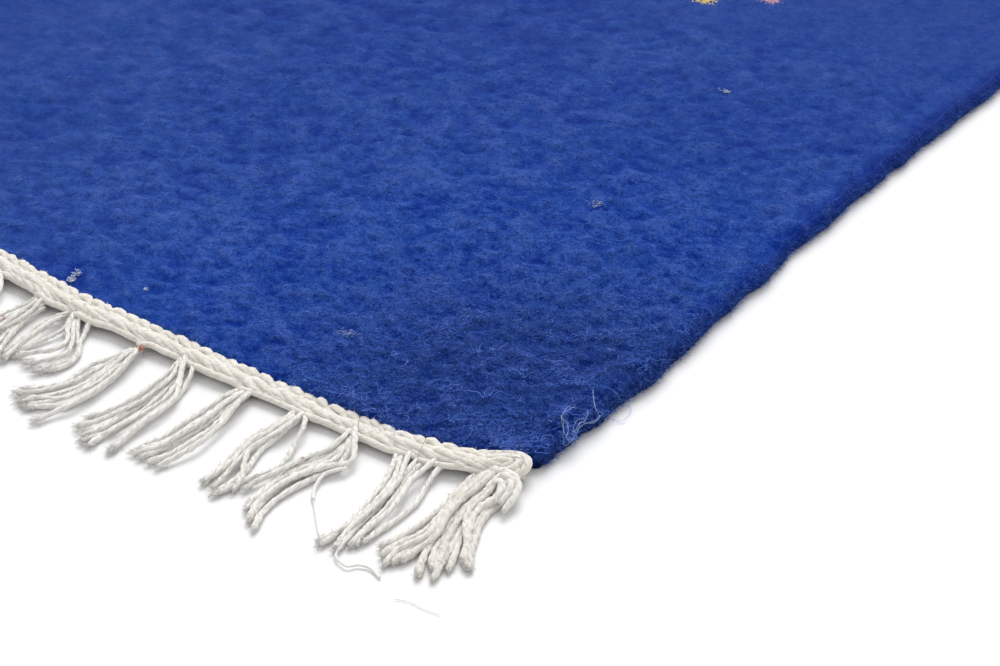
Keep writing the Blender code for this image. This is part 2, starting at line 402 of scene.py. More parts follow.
class Yarns:
    """Gathers closed tubes and hairs, each an array of many alike, and makes them one mesh."""

    # Directions that few strands and hairs run along, from which their first normals are measured
    OFF_STRANDS = (0.13, 0.21, 0.97)
    OFF_HAIRS = (0.02, 0.03, 1.0)
    # How far round a strand's tone turns the start of its twist
    TONE_TURNS = 40
    HAIR_TAPER = 0.55
    # Steps that spread the hairs evenly over a strand's shades
    SHADE_STEPS = (0.618, 0.755)
    FUZZ_WIDTHS = (0.00007, 0.00015)
    FUZZ_LENGTHS = (0.0004, 0.0014)
    FUZZ_ROOTED = 0.85
    FUZZ_OUTWARDS = 1.1

    def __init__(self):
        self.points = []
        self.faces = []
        self.uvs = []
        self.tones = []
        self.count = 0

    def keep(self, points, tones, faces, uvs):
        """Adds points, and faces numbered within them."""
        points[:, 2] = np.maximum(points[:, 2], LEAST_HEIGHT)
        self.points.append(points)
        self.tones.append(tones)
        self.faces += [face + self.count for face in faces]
        self.uvs += uvs
        self.count += len(points)

    def tubes(self, paths, radii, sides, tones, ply=0.0, pitch=1.0, flat=1.0, rough=0.0, chance=None):
        """A tube along each path, with two plies that turn once in each pitch, pressed flat by this share."""
        count, rings = paths.shape[:2]
        ahead = unit(np.gradient(paths, axis=1))
        normal = np.empty_like(paths)
        normal[:, 0] = unit(np.cross(ahead[:, 0], self.OFF_STRANDS))
        for ring in range(1, rings):
            last = normal[:, ring - 1]
            along = np.sum(last * ahead[:, ring], axis=-1, keepdims=True)
            normal[:, ring] = unit(last - along * ahead[:, ring])
        across = np.cross(ahead, normal)
        steps = np.linalg.norm(np.diff(paths, axis=1), axis=-1)
        run = np.concatenate([np.zeros((count, 1)), np.cumsum(steps, axis=1)], axis=1)
        angle = math.tau * np.arange(sides) / sides
        turn = math.tau * run[..., None] / pitch + tones[:, None, None] * self.TONE_TURNS
        reach = radii[..., None] * (1 + ply * np.cos(PLIES * (angle - turn)))
        if rough:
            reach = reach * (1 + chance.normal(0, rough, reach.shape))
        round_it = np.cos(angle)[:, None] * normal[:, :, None] + np.sin(angle)[:, None] * across[:, :, None]
        points = paths[:, :, None] + reach[..., None] * round_it * (1, 1, flat)
        # Faces run round each ring and then along the tube
        first = (np.arange(count)[:, None] * rings + np.arange(rings - 1)) * sides
        side = np.arange(sides)
        here = first[..., None] + side
        beside = first[..., None] + (side + 1) % sides
        quads = np.stack([here, beside, beside + sides, here + sides], axis=-1).reshape(-1, 4)
        start = np.arange(count)[:, None] * rings * sides + side[::-1]
        end = (np.arange(count)[:, None] * rings + rings - 1) * sides + side
        caps = np.concatenate([start, end])
        low = np.broadcast_to(run[:, :-1, None], here.shape)
        high = np.broadcast_to(run[:, 1:, None], here.shape)
        left = np.broadcast_to(side / sides, here.shape)
        right = np.broadcast_to((side + 1) / sides, here.shape)
        quad_uv = np.stack(
            [np.stack(pair, axis=-1) for pair in ((low, left), (low, right), (high, right), (high, left))],
            axis=-2,
        ).reshape(-1, 4, 2)
        cap_run = np.concatenate([run[:, :1], run[:, -1:]])
        cap_uv = np.stack(np.broadcast_arrays(cap_run, side / sides), axis=-1)
        point_tones = np.repeat(tones, rings * sides)
        self.keep(points.reshape(-1, 3), point_tones, [quads, caps], [quad_uv, cap_uv])

    def hairs(self, paths, width, tones):
        """A fine three-sided hair along each path, tapering to a point."""
        count, rings = paths.shape[:2]
        ahead = unit(np.gradient(paths, axis=1))
        across = unit(np.cross(ahead, self.OFF_HAIRS))
        above = np.cross(across, ahead)
        angle = math.tau * (np.arange(3) / 3 + 0.25)
        round_it = np.cos(angle)[:, None] * across[:, :, None] + np.sin(angle)[:, None] * above[:, :, None]
        taper = np.linspace(1, self.HAIR_TAPER, rings - 1)
        reach = width[:, None] / 2 * taper
        body = paths[:, :-1, None] + reach[..., None, None] * round_it[:, :-1]
        points = np.concatenate([body.reshape(count, -1, 3), paths[:, -1:]], axis=1)
        each = points.shape[1]
        start = np.arange(count)[:, None, None] * each
        side = np.arange(3)
        here = start + np.arange(rings - 2)[:, None] * 3 + side
        beside = start + np.arange(rings - 2)[:, None] * 3 + (side + 1) % 3
        quads = np.stack([beside, here, here + 3, beside + 3], axis=-1).reshape(-1, 4)
        last = start[:, 0] + (rings - 2) * 3
        tip = np.broadcast_to(start[:, 0] + each - 1, (count, 3))
        tips = np.stack([last + (side + 1) % 3, last + side, tip], axis=-1).reshape(-1, 3)
        base = start[:, 0] + side
        ends = np.concatenate([tips, base])
        own = np.outer(np.arange(count), self.SHADE_STEPS) % 1 * (HAIR_RUN, 1)
        uvs = [
            np.repeat(own, len(part) // count, axis=0)[:, None] * np.ones((part.shape[1], 1))
            for part in (quads, ends)
        ]
        self.keep(points.reshape(-1, 3), np.repeat(tones, each), [quads, ends], uvs)

    def fuzz(self, chance, paths, radii, tones, each, lengths=FUZZ_LENGTHS):
        """Short fine hairs that stand off the strands along these paths."""
        count, rings = paths.shape[:2]
        picks = np.repeat(np.arange(count), each)
        ring = chance.integers(1, rings - 1, len(picks))
        between = chance.random((len(picks), 1))
        here = paths[picks, ring] * (1 - between) + paths[picks, ring + 1] * between
        ahead = unit(paths[picks, ring + 1] - paths[picks, ring - 1])
        away = unit(chance.normal(0, 1, (len(picks), 3)) + (0, 0, 0.5))
        away = unit(away - np.sum(away * ahead, axis=-1, keepdims=True) * ahead)
        way = ahead * chance.choice((-1, 1), (len(picks), 1)) + self.FUZZ_OUTWARDS * away
        way = way + chance.normal(0, 0.5, away.shape)
        root = here + away * radii[picks, ring][:, None] * self.FUZZ_ROOTED
        hairs = np.stack([root, root + unit(way) * chance.uniform(*lengths, (len(picks), 1))], axis=1)
        self.hairs(lifted(hairs), chance.uniform(*self.FUZZ_WIDTHS, len(picks)), tones[picks])

    def mesh(self, name):
        return mesh_of(name, np.concatenate(self.points), self.faces, self.uvs, np.concatenate(self.tones))


def through(points, rings):
    """A smooth curve through each row of points, as this many evenly spaced ones."""
    points = np.asarray(points, float)
    count = points.shape[-2]
    before = 2 * points[..., :1, :] - points[..., 1:2, :]
    after = 2 * points[..., -1:, :] - points[..., -2:-1, :]
    padded = np.concatenate([before, points, after], axis=-2)
    place = np.linspace(0, count - 1, rings)
    k = np.minimum(place.astype(int), count - 2)
    t = (place - k)[:, None]
    a, b, c, d = (padded[..., k + n, :] for n in range(4))
    return 0.5 * (2 * b + (c - a) * t + (2 * a - 5 * b + 4 * c - d) * t**2 + (3 * b - a - 3 * c + d) * t**3)


def wandering_hairs(chance, roots, heading, length, rise_range, rings, curl=0.5, ends_low=0.4):
    """Paths of short curly hairs that leave their roots in these headings."""
    count = len(roots)
    bend = chance.normal(0, curl, (count, rings - 1))
    course = heading[:, None] + np.cumsum(bend, axis=1)
    step = (length / (rings - 1))[:, None]
    moves = np.stack([np.cos(course) * step, np.sin(course) * step], axis=-1)
    paths = np.empty((count, rings, 3))
    paths[:, 0, :2] = roots[:, :2]
    paths[:, 1:, :2] = roots[:, None, :2] + np.cumsum(moves, axis=1)
    lift = chance.uniform(*rise_range, count)[:, None]
    arch = np.sin(np.linspace(0.0, math.pi * (1 - ends_low / 2), rings))
    paths[:, :, 2] = roots[:, 2:3] + lift * arch
    return paths


# ---------------------------------------------------------------- materials


def set_inputs(tree, made, inputs):
    """Sets inputs of a node. Each takes another node's socket, or a value of its own."""
    for name, value in inputs.items():
        if isinstance(value, bpy.types.NodeSocket):
            tree.links.new(value, made.inputs[name])
        else:
            made.inputs[name].default_value = value


def node(tree, kind, inputs=None, **settings):
    """A new node with these settings and inputs."""
    made = tree.nodes.new(kind)
    for name, value in settings.items():
        setattr(made, name, value)
    set_inputs(tree, made, inputs or {})
    return made


def maths(tree, operation, first, second=0.0, **settings):
    """The result of one Math node."""
    return node(tree, "ShaderNodeMath", {0: first, 1: second}, operation=operation, **settings).outputs[0]


# Where a Mix node has its share, its two colours and its mixed colour
MIX_SHARE = 0
MIX_FIRST = 6
MIX_SECOND = 7
MIX_RESULT = 2


def mixed(tree, share, first, second):
    """One colour mixed with another by this share."""
    inputs = {MIX_SHARE: share, MIX_FIRST: first, MIX_SECOND: second}
    return node(tree, "ShaderNodeMix", inputs, data_type="RGBA").outputs[MIX_RESULT]


def ranged(tree, value, low, high, start=0.0, end=1.0, **settings):
    """A value brought from between start and end to between low and high."""
    inputs = {"Value": value, "From Min": start, "From Max": end, "To Min": low, "To Max": high}
    return node(tree, "ShaderNodeMapRange", inputs, **settings).outputs["Result"]


def ramp(tree, share, *stops):
    """A colour ramp of (place, colour) stops."""
    made = node(tree, "ShaderNodeValToRGB", {"Fac": share})
    elements = made.color_ramp.elements
    while len(elements) < len(stops):
        elements.new(0.5)
    for element, (place, colour) in zip(elements, stops):
        element.position = place
        element.color = solid(colour)
    return made.outputs["Color"]


def solid(colour):
    """A colour with full alpha. One number makes a grey."""
    return (colour, colour, colour, 1) if isinstance(colour, (int, float)) else (*colour[:3], 1)


def noise(tree, vector, scale, detail=2.0, roughness=0.5, distortion=0.0, result="Fac"):
    """Noise with so many lumps a metre, from 0 to 1."""
    inputs = {"Vector": vector, "Scale": scale, "Detail": detail, "Roughness": roughness}
    inputs["Distortion"] = distortion
    return node(tree, "ShaderNodeTexNoise", inputs).outputs[result]


def vector_maths(tree, operation, first, second, result="Vector"):
    """The result of one Vector Math node."""
    return node(tree, "ShaderNodeVectorMath", {0: first, 1: second}, operation=operation).outputs[result]


def tone_of(tree):
    """The tone that each point of a piece holds."""
    return node(tree, "ShaderNodeAttribute", attribute_name="tone").outputs["Fac"]


def new_material(name):
    """A new material, its node tree, its shader and the object's own coordinates."""
    made = bpy.data.materials.new(name)
    made.use_nodes = True
    tree = made.node_tree
    return made, tree, tree.nodes["Principled BSDF"], node(tree, "ShaderNodeTexCoord").outputs["Object"]


# The wool is most ruffled round this point, and half as much at twice this reach
FINE_CORNER = (0.300, -0.436, 0.003)
RUFFLED_REACH = 0.050
STAR_CENTRE = (0.2022, 0.1932, 0.0)
STAR_STEP = 0.0040
# How many steps the star's arms, its block each way and its heart reach from its middle
STAR_TIP = 7
STAR_BLOCK = (5, 4)
STAR_HEART = 2.0
# How far the stars' wool is matted into the blue round them, and how finely it is tangled
STAR_ASTRAY = 0.008
STAR_TANGLE = 1400.0


def with_stars(tree, place, blue, wool):
    """The blue with a stepped eight-pointed star set into each quarter of the field."""
    tangle = noise(tree, place, STAR_TANGLE, detail=1.0, result="Color")
    both_ways = vector_maths(tree, "SUBTRACT", tangle, (0.5, 0.5, 0.5))
    astray = node(tree, "ShaderNodeVectorMath", {0: both_ways, "Scale": STAR_ASTRAY}, operation="SCALE")
    quarter = node(tree, "ShaderNodeVectorMath", {0: place}, operation="ABSOLUTE").outputs[0]
    matted = vector_maths(tree, "ADD", quarter, astray.outputs[0])
    from_centre = vector_maths(tree, "SUBTRACT", matted, STAR_CENTRE)
    off_centre = node(tree, "ShaderNodeVectorMath", {0: from_centre}, operation="ABSOLUTE").outputs[0]
    divided = vector_maths(tree, "DIVIDE", off_centre, (STAR_STEP, STAR_STEP, 1.0))
    steps = node(tree, "ShaderNodeVectorMath", {0: divided}, operation="FLOOR").outputs[0]
    split = node(tree, "ShaderNodeSeparateXYZ", {0: steps})
    across, along = split.outputs["X"], split.outputs["Y"]
    longest = maths(tree, "MAXIMUM", across, along)
    shortest = maths(tree, "MINIMUM", across, along)
    slanting = maths(tree, "ADD", longest, maths(tree, "MULTIPLY", shortest, 2.0))
    arms = maths(tree, "LESS_THAN", slanting, STAR_TIP)
    within = maths(tree, "LESS_THAN", across, STAR_BLOCK[0])
    block = maths(tree, "MULTIPLY", within, maths(tree, "LESS_THAN", along, STAR_BLOCK[1]))
    heart = maths(tree, "LESS_THAN", maths(tree, "ADD", across, along), STAR_HEART)
    coloured = mixed(tree, block, blue, solid(wool.rose))
    coloured = mixed(tree, arms, coloured, solid(wool.yellow))
    return mixed(tree, heart, coloured, solid(wool.rose))


def filaments(tree, place, scale, offset, thin):
    """Curly thin lines, from 0 between them to 1 along their middles, where the noise crosses its mean."""
    moved = node(tree, "ShaderNodeMapping", {"Vector": place, "Location": offset}).outputs["Vector"]
    crossing = noise(tree, moved, scale, detail=2.0, roughness=0.6, distortion=1.6)
    off_mean = maths(tree, "ABSOLUTE", maths(tree, "SUBTRACT", crossing, 0.5))
    return ranged(tree, off_mean, 1.0, 0.0, end=thin, interpolation_type="SMOOTHSTEP")


def wool_material(wool):
    """Matted blue wool: clumps over pits darkened by painted shade, curly fibres on them, and the stars."""
    made, tree, shader, place = new_material("matted_blue_wool")
    lift = tone_of(tree)

    # Clumps and tufts, as high as the wool is ruffled, which is less further from the fine corner. Their
    # colour paints shade in the pits and a highlight on the tops
    weft = {"Vector": place, "Scale": (1.0, 1.12, 1.0), "Rotation": (0, 0, 0.10)}
    along_weft = node(tree, "ShaderNodeMapping", weft).outputs["Vector"]
    clumps = noise(tree, along_weft, 400.0, roughness=0.55, distortion=0.8)
    tufts = noise(tree, along_weft, 1150.0, roughness=0.7, distortion=1.2)
    matted = maths(tree, "ADD", maths(tree, "MULTIPLY", clumps, 0.42), maths(tree, "MULTIPLY", tufts, 0.58))
    from_corner = vector_maths(tree, "DISTANCE", place, FINE_CORNER, "Value")
    ruffled = maths(tree, "DIVIDE", RUFFLED_REACH, from_corner, use_clamp=True)
    contrast = maths(tree, "MULTIPLY", ruffled, 2.4)
    uneven = maths(tree, "MULTIPLY", maths(tree, "SUBTRACT", matted, 0.5), contrast)
    # Painted shade from each point's tone: darker in the pits and down the shaded edges, lighter on the
    # clumps
    painted_shade_by_tone = maths(tree, "MULTIPLY", maths(tree, "SUBTRACT", lift, 0.5), 0.34)
    raised = maths(tree, "ADD", maths(tree, "ADD", uneven, painted_shade_by_tone), 0.5)
    # Deep blue is painted shade in the pits, light blue a painted highlight on top of the clumps
    blue = ramp(tree, raised, (0.37, wool.deep), (0.51, wool.middle), (0.64, wool.light))

    # The dye took unevenly, and the wool is worn smooth away from the fine corner
    tint = ramp(tree, noise(tree, place, 55.0, detail=3.0), (0.42, 0.0), (0.64, 0.16))
    blue = mixed(tree, tint, blue, solid(wool.tint))
    mottle = noise(tree, place, 110.0, detail=3.0, roughness=0.6)
    worn = ramp(tree, mottle, (0.35, wool.smooth_low), (0.65, wool.smooth_high))
    blue = mixed(tree, ranged(tree, ruffled, 0.40, 0.0, start=0.1, end=0.45), blue, worn)

    # Curly fibres in patches on the clumps
    curls = filaments(tree, along_weft, 560.0, (0.3, 0.1, 0.0), 0.060)
    small_curls = filaments(tree, along_weft, 1050.0, (0.7, 0.4, 0.0), 0.080)
    lines = maths(tree, "MAXIMUM", curls, maths(tree, "MULTIPLY", small_curls, 0.8))
    patches = noise(tree, place, 240.0, roughness=0.6)
    shown_lines = maths(tree, "MULTIPLY", lines, ramp(tree, patches, (0.38, 0.10), (0.62, 0.75)))
    shown_lines = maths(tree, "MULTIPLY", shown_lines, ruffled)
    blue = mixed(tree, shown_lines, blue, solid(wool.fibre))

    # Darker clouds of dye, and the shaded side edges
    dye = noise(tree, place, 9.0, detail=3.0, roughness=0.55)
    blue = mixed(tree, ramp(tree, dye, (0.35, 0.0), (0.65, 0.14)), blue, solid(wool.deep))
    sunk = ranged(tree, lift, 0.92, 0.0, start=-1.3, end=0.15, interpolation_type="SMOOTHSTEP")
    blue = mixed(tree, sunk, blue, solid(wool.shaded))

    height = maths(tree, "ADD", matted, maths(tree, "MULTIPLY", shown_lines, 0.16))
    bump = node(tree, "ShaderNodeBump", {"Height": height, "Strength": ruffled, "Distance": 0.0026})
    set_inputs(tree, shader, {
        "Base Color": with_stars(tree, place, blue, wool),
        "Normal": bump.outputs["Normal"],
        "Roughness": ranged(tree, tufts, 0.84, 0.98),
        "Specular IOR Level": 0.02,
        "Sheen Weight": 0.05,
        "Sheen Roughness": 0.45,
        "Sheen Tint": (0.20, 0.36, 1.0, 1),
    })
    return made


def nap_material(wool):
    """Loose wool fibres: each has its own tone, and takes the colour of the wool that it stands in."""
    made, tree, shader, place = new_material("loose_blue_wool")
    mottle = noise(tree, place, 900.0)
    own = maths(tree, "MULTIPLY", tone_of(tree), 0.8)
    share = maths(tree, "ADD", own, maths(tree, "MULTIPLY", mottle, 0.25))
    blue = ramp(tree, share, (0.04, wool.deep), (0.36, wool.light), (0.70, wool.fibre), (0.98, wool.loose))
    set_inputs(tree, shader, {
        "Base Color": with_stars(tree, place, blue, wool),
        "Roughness": ranged(tree, mottle, 0.72, 0.92),
        "Specular IOR Level": 0.03,
        "Sheen Weight": 0.02,
        "Sheen Tint": (0.30, 0.45, 1.0, 1),
    })
    return made


def cotton_material(name, colour, cotton, marked):
    """Soft twisted cotton: plies and fibres that turn round the strand, and warm shade between them."""
    made, tree, shader, place = new_material(name)
    shade = solid(cotton.shade)
    run = node(tree, "ShaderNodeTexCoord").outputs["UV"]
    along, round_it, _ = node(tree, "ShaderNodeSeparateXYZ", {0: run}).outputs
    spiral = maths(tree, "ADD", maths(tree, "DIVIDE", along, cotton.twist), round_it)
    loose = maths(tree, "MULTIPLY", noise(tree, place, 420.0), 0.6)
    groove = maths(tree, "PINGPONG", maths(tree, "MULTIPLY", maths(tree, "ADD", spiral, loose), PLIES), 0.5)
    ply_height = maths(tree, "MULTIPLY", maths(tree, "SQRT", maths(tree, "MULTIPLY", groove, 2.0)), marked)
    combed = node(tree, "ShaderNodeCombineXYZ", {0: maths(tree, "MULTIPLY", spiral, 7.0), 1: along})
    drawn_out = {"Vector": combed.outputs[0], "Scale": (1.0, 160.0, 1.0)}
    hairs = node(tree, "ShaderNodeMapping", drawn_out).outputs["Vector"]
    hairs = noise(tree, hairs, 1.6, detail=3.0, roughness=0.7)
    fuzz = noise(tree, place, 2300.0, roughness=0.6, distortion=1.0)
    soft = noise(tree, place, 420.0, detail=3.0, roughness=0.6)
    lit = mixed(tree, ramp(tree, groove, (0.0, marked * 0.5), (0.25, 0.0)), solid(colour), shade)
    lit = mixed(tree, ramp(tree, hairs, (0.34, 0.34), (0.52, 0.0)), lit, shade)
    lit = mixed(tree, ramp(tree, soft, (0.42, 0.0), (0.70, 0.16)), lit, shade)
    lit = mixed(tree, maths(tree, "MULTIPLY", tone_of(tree), 0.20), lit, shade)
    height = maths(tree, "ADD", ply_height, maths(tree, "MULTIPLY", hairs, 0.55))
    height = maths(tree, "ADD", height, maths(tree, "MULTIPLY", fuzz, 0.45))
    bump = node(tree, "ShaderNodeBump", {"Height": height, "Strength": 0.85, "Distance": 0.0006})
    set_inputs(tree, shader, {
        "Base Color": lit,
        "Normal": bump.outputs["Normal"],
        "Roughness": ranged(tree, fuzz, 0.80, 0.96),
        "Specular IOR Level": 0.12,
        "Sheen Weight": 0.12,
        "Sheen Roughness": 0.5,
    })
    return made


def fleck_material(name, colour, other):
    """A small stray fibre: two close colours in fine mottle."""
    made, tree, shader, place = new_material(name)
    mottle = noise(tree, place, 1800.0, detail=3.0, roughness=0.6)
    set_inputs(tree, shader, {
        "Base Color": ramp(tree, mottle, (0.35, colour), (0.65, other)),
        "Roughness": ranged(tree, mottle, 0.6, 0.85),
    })
    return made


# ---------------------------------------------------------------- what a user would change


def colour_property(name, description, default):
    return bpy.props.FloatVectorProperty(
        name=name, description=description, subtype="COLOR", size=3, min=0.0, max=1.0, default=default
    )


def length_property(name, description, default):
    return bpy.props.FloatProperty(
        name=name, description=description, unit="LENGTH", precision=5, default=default
    )


def strength_property(name, description, default):
    return bpy.props.FloatProperty(name=name, description=description, default=default)


class KilimWool(bpy.types.PropertyGroup):
    """The woollen field."""

    loose: colour_property("Loose fibre", "The palest of the loose fibres", (0.200, 0.340, 0.840))
    smooth_low: colour_property("Worn wool, dark", "The darker of the worn wool", (0.0200, 0.0280, 0.0840))
    smooth_high: colour_property("Worn wool, pale", "The paler of the worn wool", (0.0560, 0.0630, 0.1360))
    tint: colour_property("Tint", "The greener blue that the dye took in places", (0.0080, 0.0620, 0.235))
    shaded: colour_property("Shaded blue", "The wool of the shaded side edges", (0.0009, 0.0090, 0.080))
    # Deep blue is painted shade in the pits between clumps, and also the darker clouds of dye; light blue is
    # a painted highlight on top of the clumps
    deep: colour_property("Deep blue", "The wool in the pits between clumps", (0.0002, 0.0140, 0.178))
    middle: colour_property("Middle blue", "Most of the wool", (0.0100, 0.0470, 0.252))
    light: colour_property("Light blue", "The wool on top of the clumps", (0.0420, 0.0870, 0.325))
    fibre: colour_property("Fibre blue", "The curly fibres on the clumps", (0.0780, 0.1800, 0.680))
    yellow: colour_property("Star yellow", "The arms of the stars", (0.520, 0.390, 0.100))
    rose: colour_property("Star rose", "The heart and the corners of the stars", (0.400, 0.215, 0.250))
    clump_height: length_property("Clump height", "How far the wool's clumps stand above its pits", 0.00062)
    fibre_length: length_property("Fibre length", "The usual length of a loose fibre", 0.0030)
    fibre_width: length_property("Fibre width", "The width of a loose fibre at its root", 0.00015)


class KilimCotton(bpy.types.PropertyGroup):
    """The cotton webs and tassels."""

    web: colour_property("Web", "The plaited cotton across the ends", (0.870, 0.842, 0.785))
    warp: colour_property("Warp", "The twisted cotton of the tassels", (0.935, 0.922, 0.892))
    shade: colour_property("Shade", "Between the plies and at worn tips", (0.560, 0.490, 0.395))
    strand: length_property("Strand", "The thickness of a strand", 0.00166)
    twist: length_property("Twist", "The length of one turn of a strand's twist", 0.0064)
    loop_pitch: length_property("Loop pitch", "How far apart the web's loops are", 0.0040)


class KilimStage(bpy.types.PropertyGroup):
    """The floor and the light."""

    floor: colour_property("Floor", "The pale floor", (0.80, 0.80, 0.80))
    sky: strength_property("Sky", "The strength of the even light from all round", 0.80)
    sun: strength_property("Lamp", "The strength of the soft lamp from above", 2.40)


# ---------------------------------------------------------------- pieces


def piece(name, mesh, material, nodes=()):
    """A finished piece of the rug in place of these CAD nodes."""
    mesh.materials.append(material)
    made = bpy.data.objects.new(name, mesh)
    bpy.context.scene.collection.objects.link(made)
    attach(made, BODY)
    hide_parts(*nodes)
    return made


class KILIM_OT_stage(bpy.types.Operator):
    """Set out the floor, the light and the camera"""

    bl_idname = "kilim.stage"
    bl_label = "Floor, light and camera"

    CAMERA_PLACE = (0.565, -0.813, 0.3485)
    CAMERA_AIM = (-0.4933, 0.6663, -0.559)
    CAMERA_LENS = 90.2
    CAMERA_CLIP = (0.01, 50.0)
    FLOOR_SIZE = 12.0
    FLOOR_DROP = 0.0001
    SUN_FROM = (-0.45, 0.82, 1.0)
    SUN_SPREAD = 38.0
    SKY_COLOUR = (0.985, 0.990, 1.0, 1)

    def execute(self, context):
        stage = context.scene.kilim_stage
        bpy.ops.object.select_all(action="DESELECT")
        bpy.ops.mesh.primitive_plane_add(size=self.FLOOR_SIZE, location=(0, 0, -self.FLOOR_DROP))
        floor = context.object
        floor.name = "floor"
        bpy.ops.object.transform_apply(location=True)
        floor.data.materials.append(self.floor_material(stage))

        bpy.ops.object.light_add(type="SUN", location=(0, 0, 2))
        lamp = context.object
        lamp.name = "soft_lamp"
        lamp.rotation_euler = Vector(self.SUN_FROM).to_track_quat("Z", "Y").to_euler()
        lamp.data.energy = stage.sun
        lamp.data.angle = math.radians(self.SUN_SPREAD)

        world = bpy.data.worlds.new("white_studio")
        world.use_nodes = True
        sky = world.node_tree.nodes["Background"]
        sky.inputs["Color"].default_value = self.SKY_COLOUR
        sky.inputs["Strength"].default_value = stage.sky
        context.scene.world = world

        bpy.ops.object.camera_add(location=self.CAMERA_PLACE)
        camera = context.object
        camera.name = "camera"
        camera.rotation_euler = Vector(self.CAMERA_AIM).to_track_quat("-Z", "Y").to_euler()
        camera.data.lens = self.CAMERA_LENS
        camera.data.clip_start, camera.data.clip_end = self.CAMERA_CLIP
        context.scene.camera = camera
        context.scene.view_settings.view_transform = "Standard"
        return {"FINISHED"}

    def floor_material(self, stage):
        made, tree, shader, place = new_material("pale_floor")
        pale = solid(stage.floor)
        paler = solid(min(1.0, stage.floor[0] + 0.02))
        mottle = ramp(tree, noise(tree, place, 3.0), (0.3, pale), (0.7, paler))
        set_inputs(tree, shader, {"Base Color": mottle, "Roughness": 0.9, "Specular IOR Level": 0.1})
        return made


class KILIM_OT_field(bpy.types.Operator):
    """Make the woollen field as one closed sheet with a matted upper face"""

    bl_idname = "kilim.field"
    bl_label = "Woollen field"

    # A point's tone paints light and shade: it is this much higher for each clump height, lower in the pits
    # and where the edge is shaded, lighter and darker over the weft's turns down the edge, and low under the
    # edge
    CLUMP_TONE = 0.3
    SHADED_TONE = -2.0
    TURN_TONE = 600
    UNDER_TONE = -1.6
    MOST_CLUMPS = 1.6
    # The shade begins this far in from a side edge, and is full at the foot of the edge
    SHADED_EDGE = 0.0060
    SHADED_BESIDE = 0.35
    EDGE_FOOT = 0.0006
    EDGE_RISE = 0.0034

    def execute(self, context):
        wool = context.scene.kilim_wool
        x = (HALF_WIDTH - grid_lines(FIELD_WIDTH, FINE_REACH[0]))[::-1]
        y = grid_lines(FIELD_LENGTH, FINE_REACH[1]) - HALF_LENGTH
        across, along = (grid.ravel() for grid in np.meshgrid(x, y))
        px, py = laid(across, along)
        top = np.stack([px, py, surface(across, along, wool.clump_height)], axis=-1)
        wide, long = len(x), len(y)
        number = np.arange(wide * long).reshape(long, wide)
        quads = np.stack([number[:-1, :-1], number[:-1, 1:], number[1:, 1:], number[1:, :-1]], axis=-1)

        # The edge turns under in rings, each a little smaller, and the last one is filled
        rim = np.concatenate([number[0], number[1:, -1], number[-1, -2::-1], number[-2:0:-1, 0]])
        rings = [rim]
        points = [top]
        for inset, height in UNDER_RINGS:
            ring_x = across[rim] * (1 - inset / HALF_WIDTH)
            ring_y = along[rim] * (1 - inset / HALF_LENGTH)
            lx, ly = laid(ring_x, ring_y)
            points.append(np.stack([lx, ly, np.full(len(rim), height)], axis=-1))
            rings.append(np.arange(len(rim)) + wide * long + len(rim) * (len(rings) - 1))
        bands = [
            np.stack([upper, lower, np.roll(lower, -1), np.roll(upper, -1)], axis=-1)
            for upper, lower in zip(rings, rings[1:])
        ]
        faces = [quads.reshape(-1, 4), *bands, rings[-1][::-1][None]]
        # The rings under the edge take painted shade
        under = np.full(len(rim) * len(UNDER_RINGS), self.UNDER_TONE)
        tones = np.concatenate([self.tones(across, along, top[:, 2]), under])
        mesh = mesh_of("wool_field", np.concatenate(points), faces, tones=tones)
        field = piece("wool_field", mesh, wool_material(wool), ["field"])
        return {"FINISHED"}

    def tones(self, across, along, height):
        """Painted light and shade: a half at the wool's mean level, more on its clumps and less in its pits,
        and far less down its shaded edges.
        """
        low = 1 - smooth((height - self.EDGE_FOOT) / self.EDGE_RISE)
        inner = np.abs(across) - HALF_WIDTH + self.SHADED_EDGE
        low = np.maximum(low, self.SHADED_BESIDE * smooth(inner / self.SHADED_EDGE))
        clumps = self.CLUMP_TONE * np.clip(relief(across, along), -self.MOST_CLUMPS, self.MOST_CLUMPS)
        return 0.5 + clumps + self.SHADED_TONE * low + self.TURN_TONE * turns(along) * low


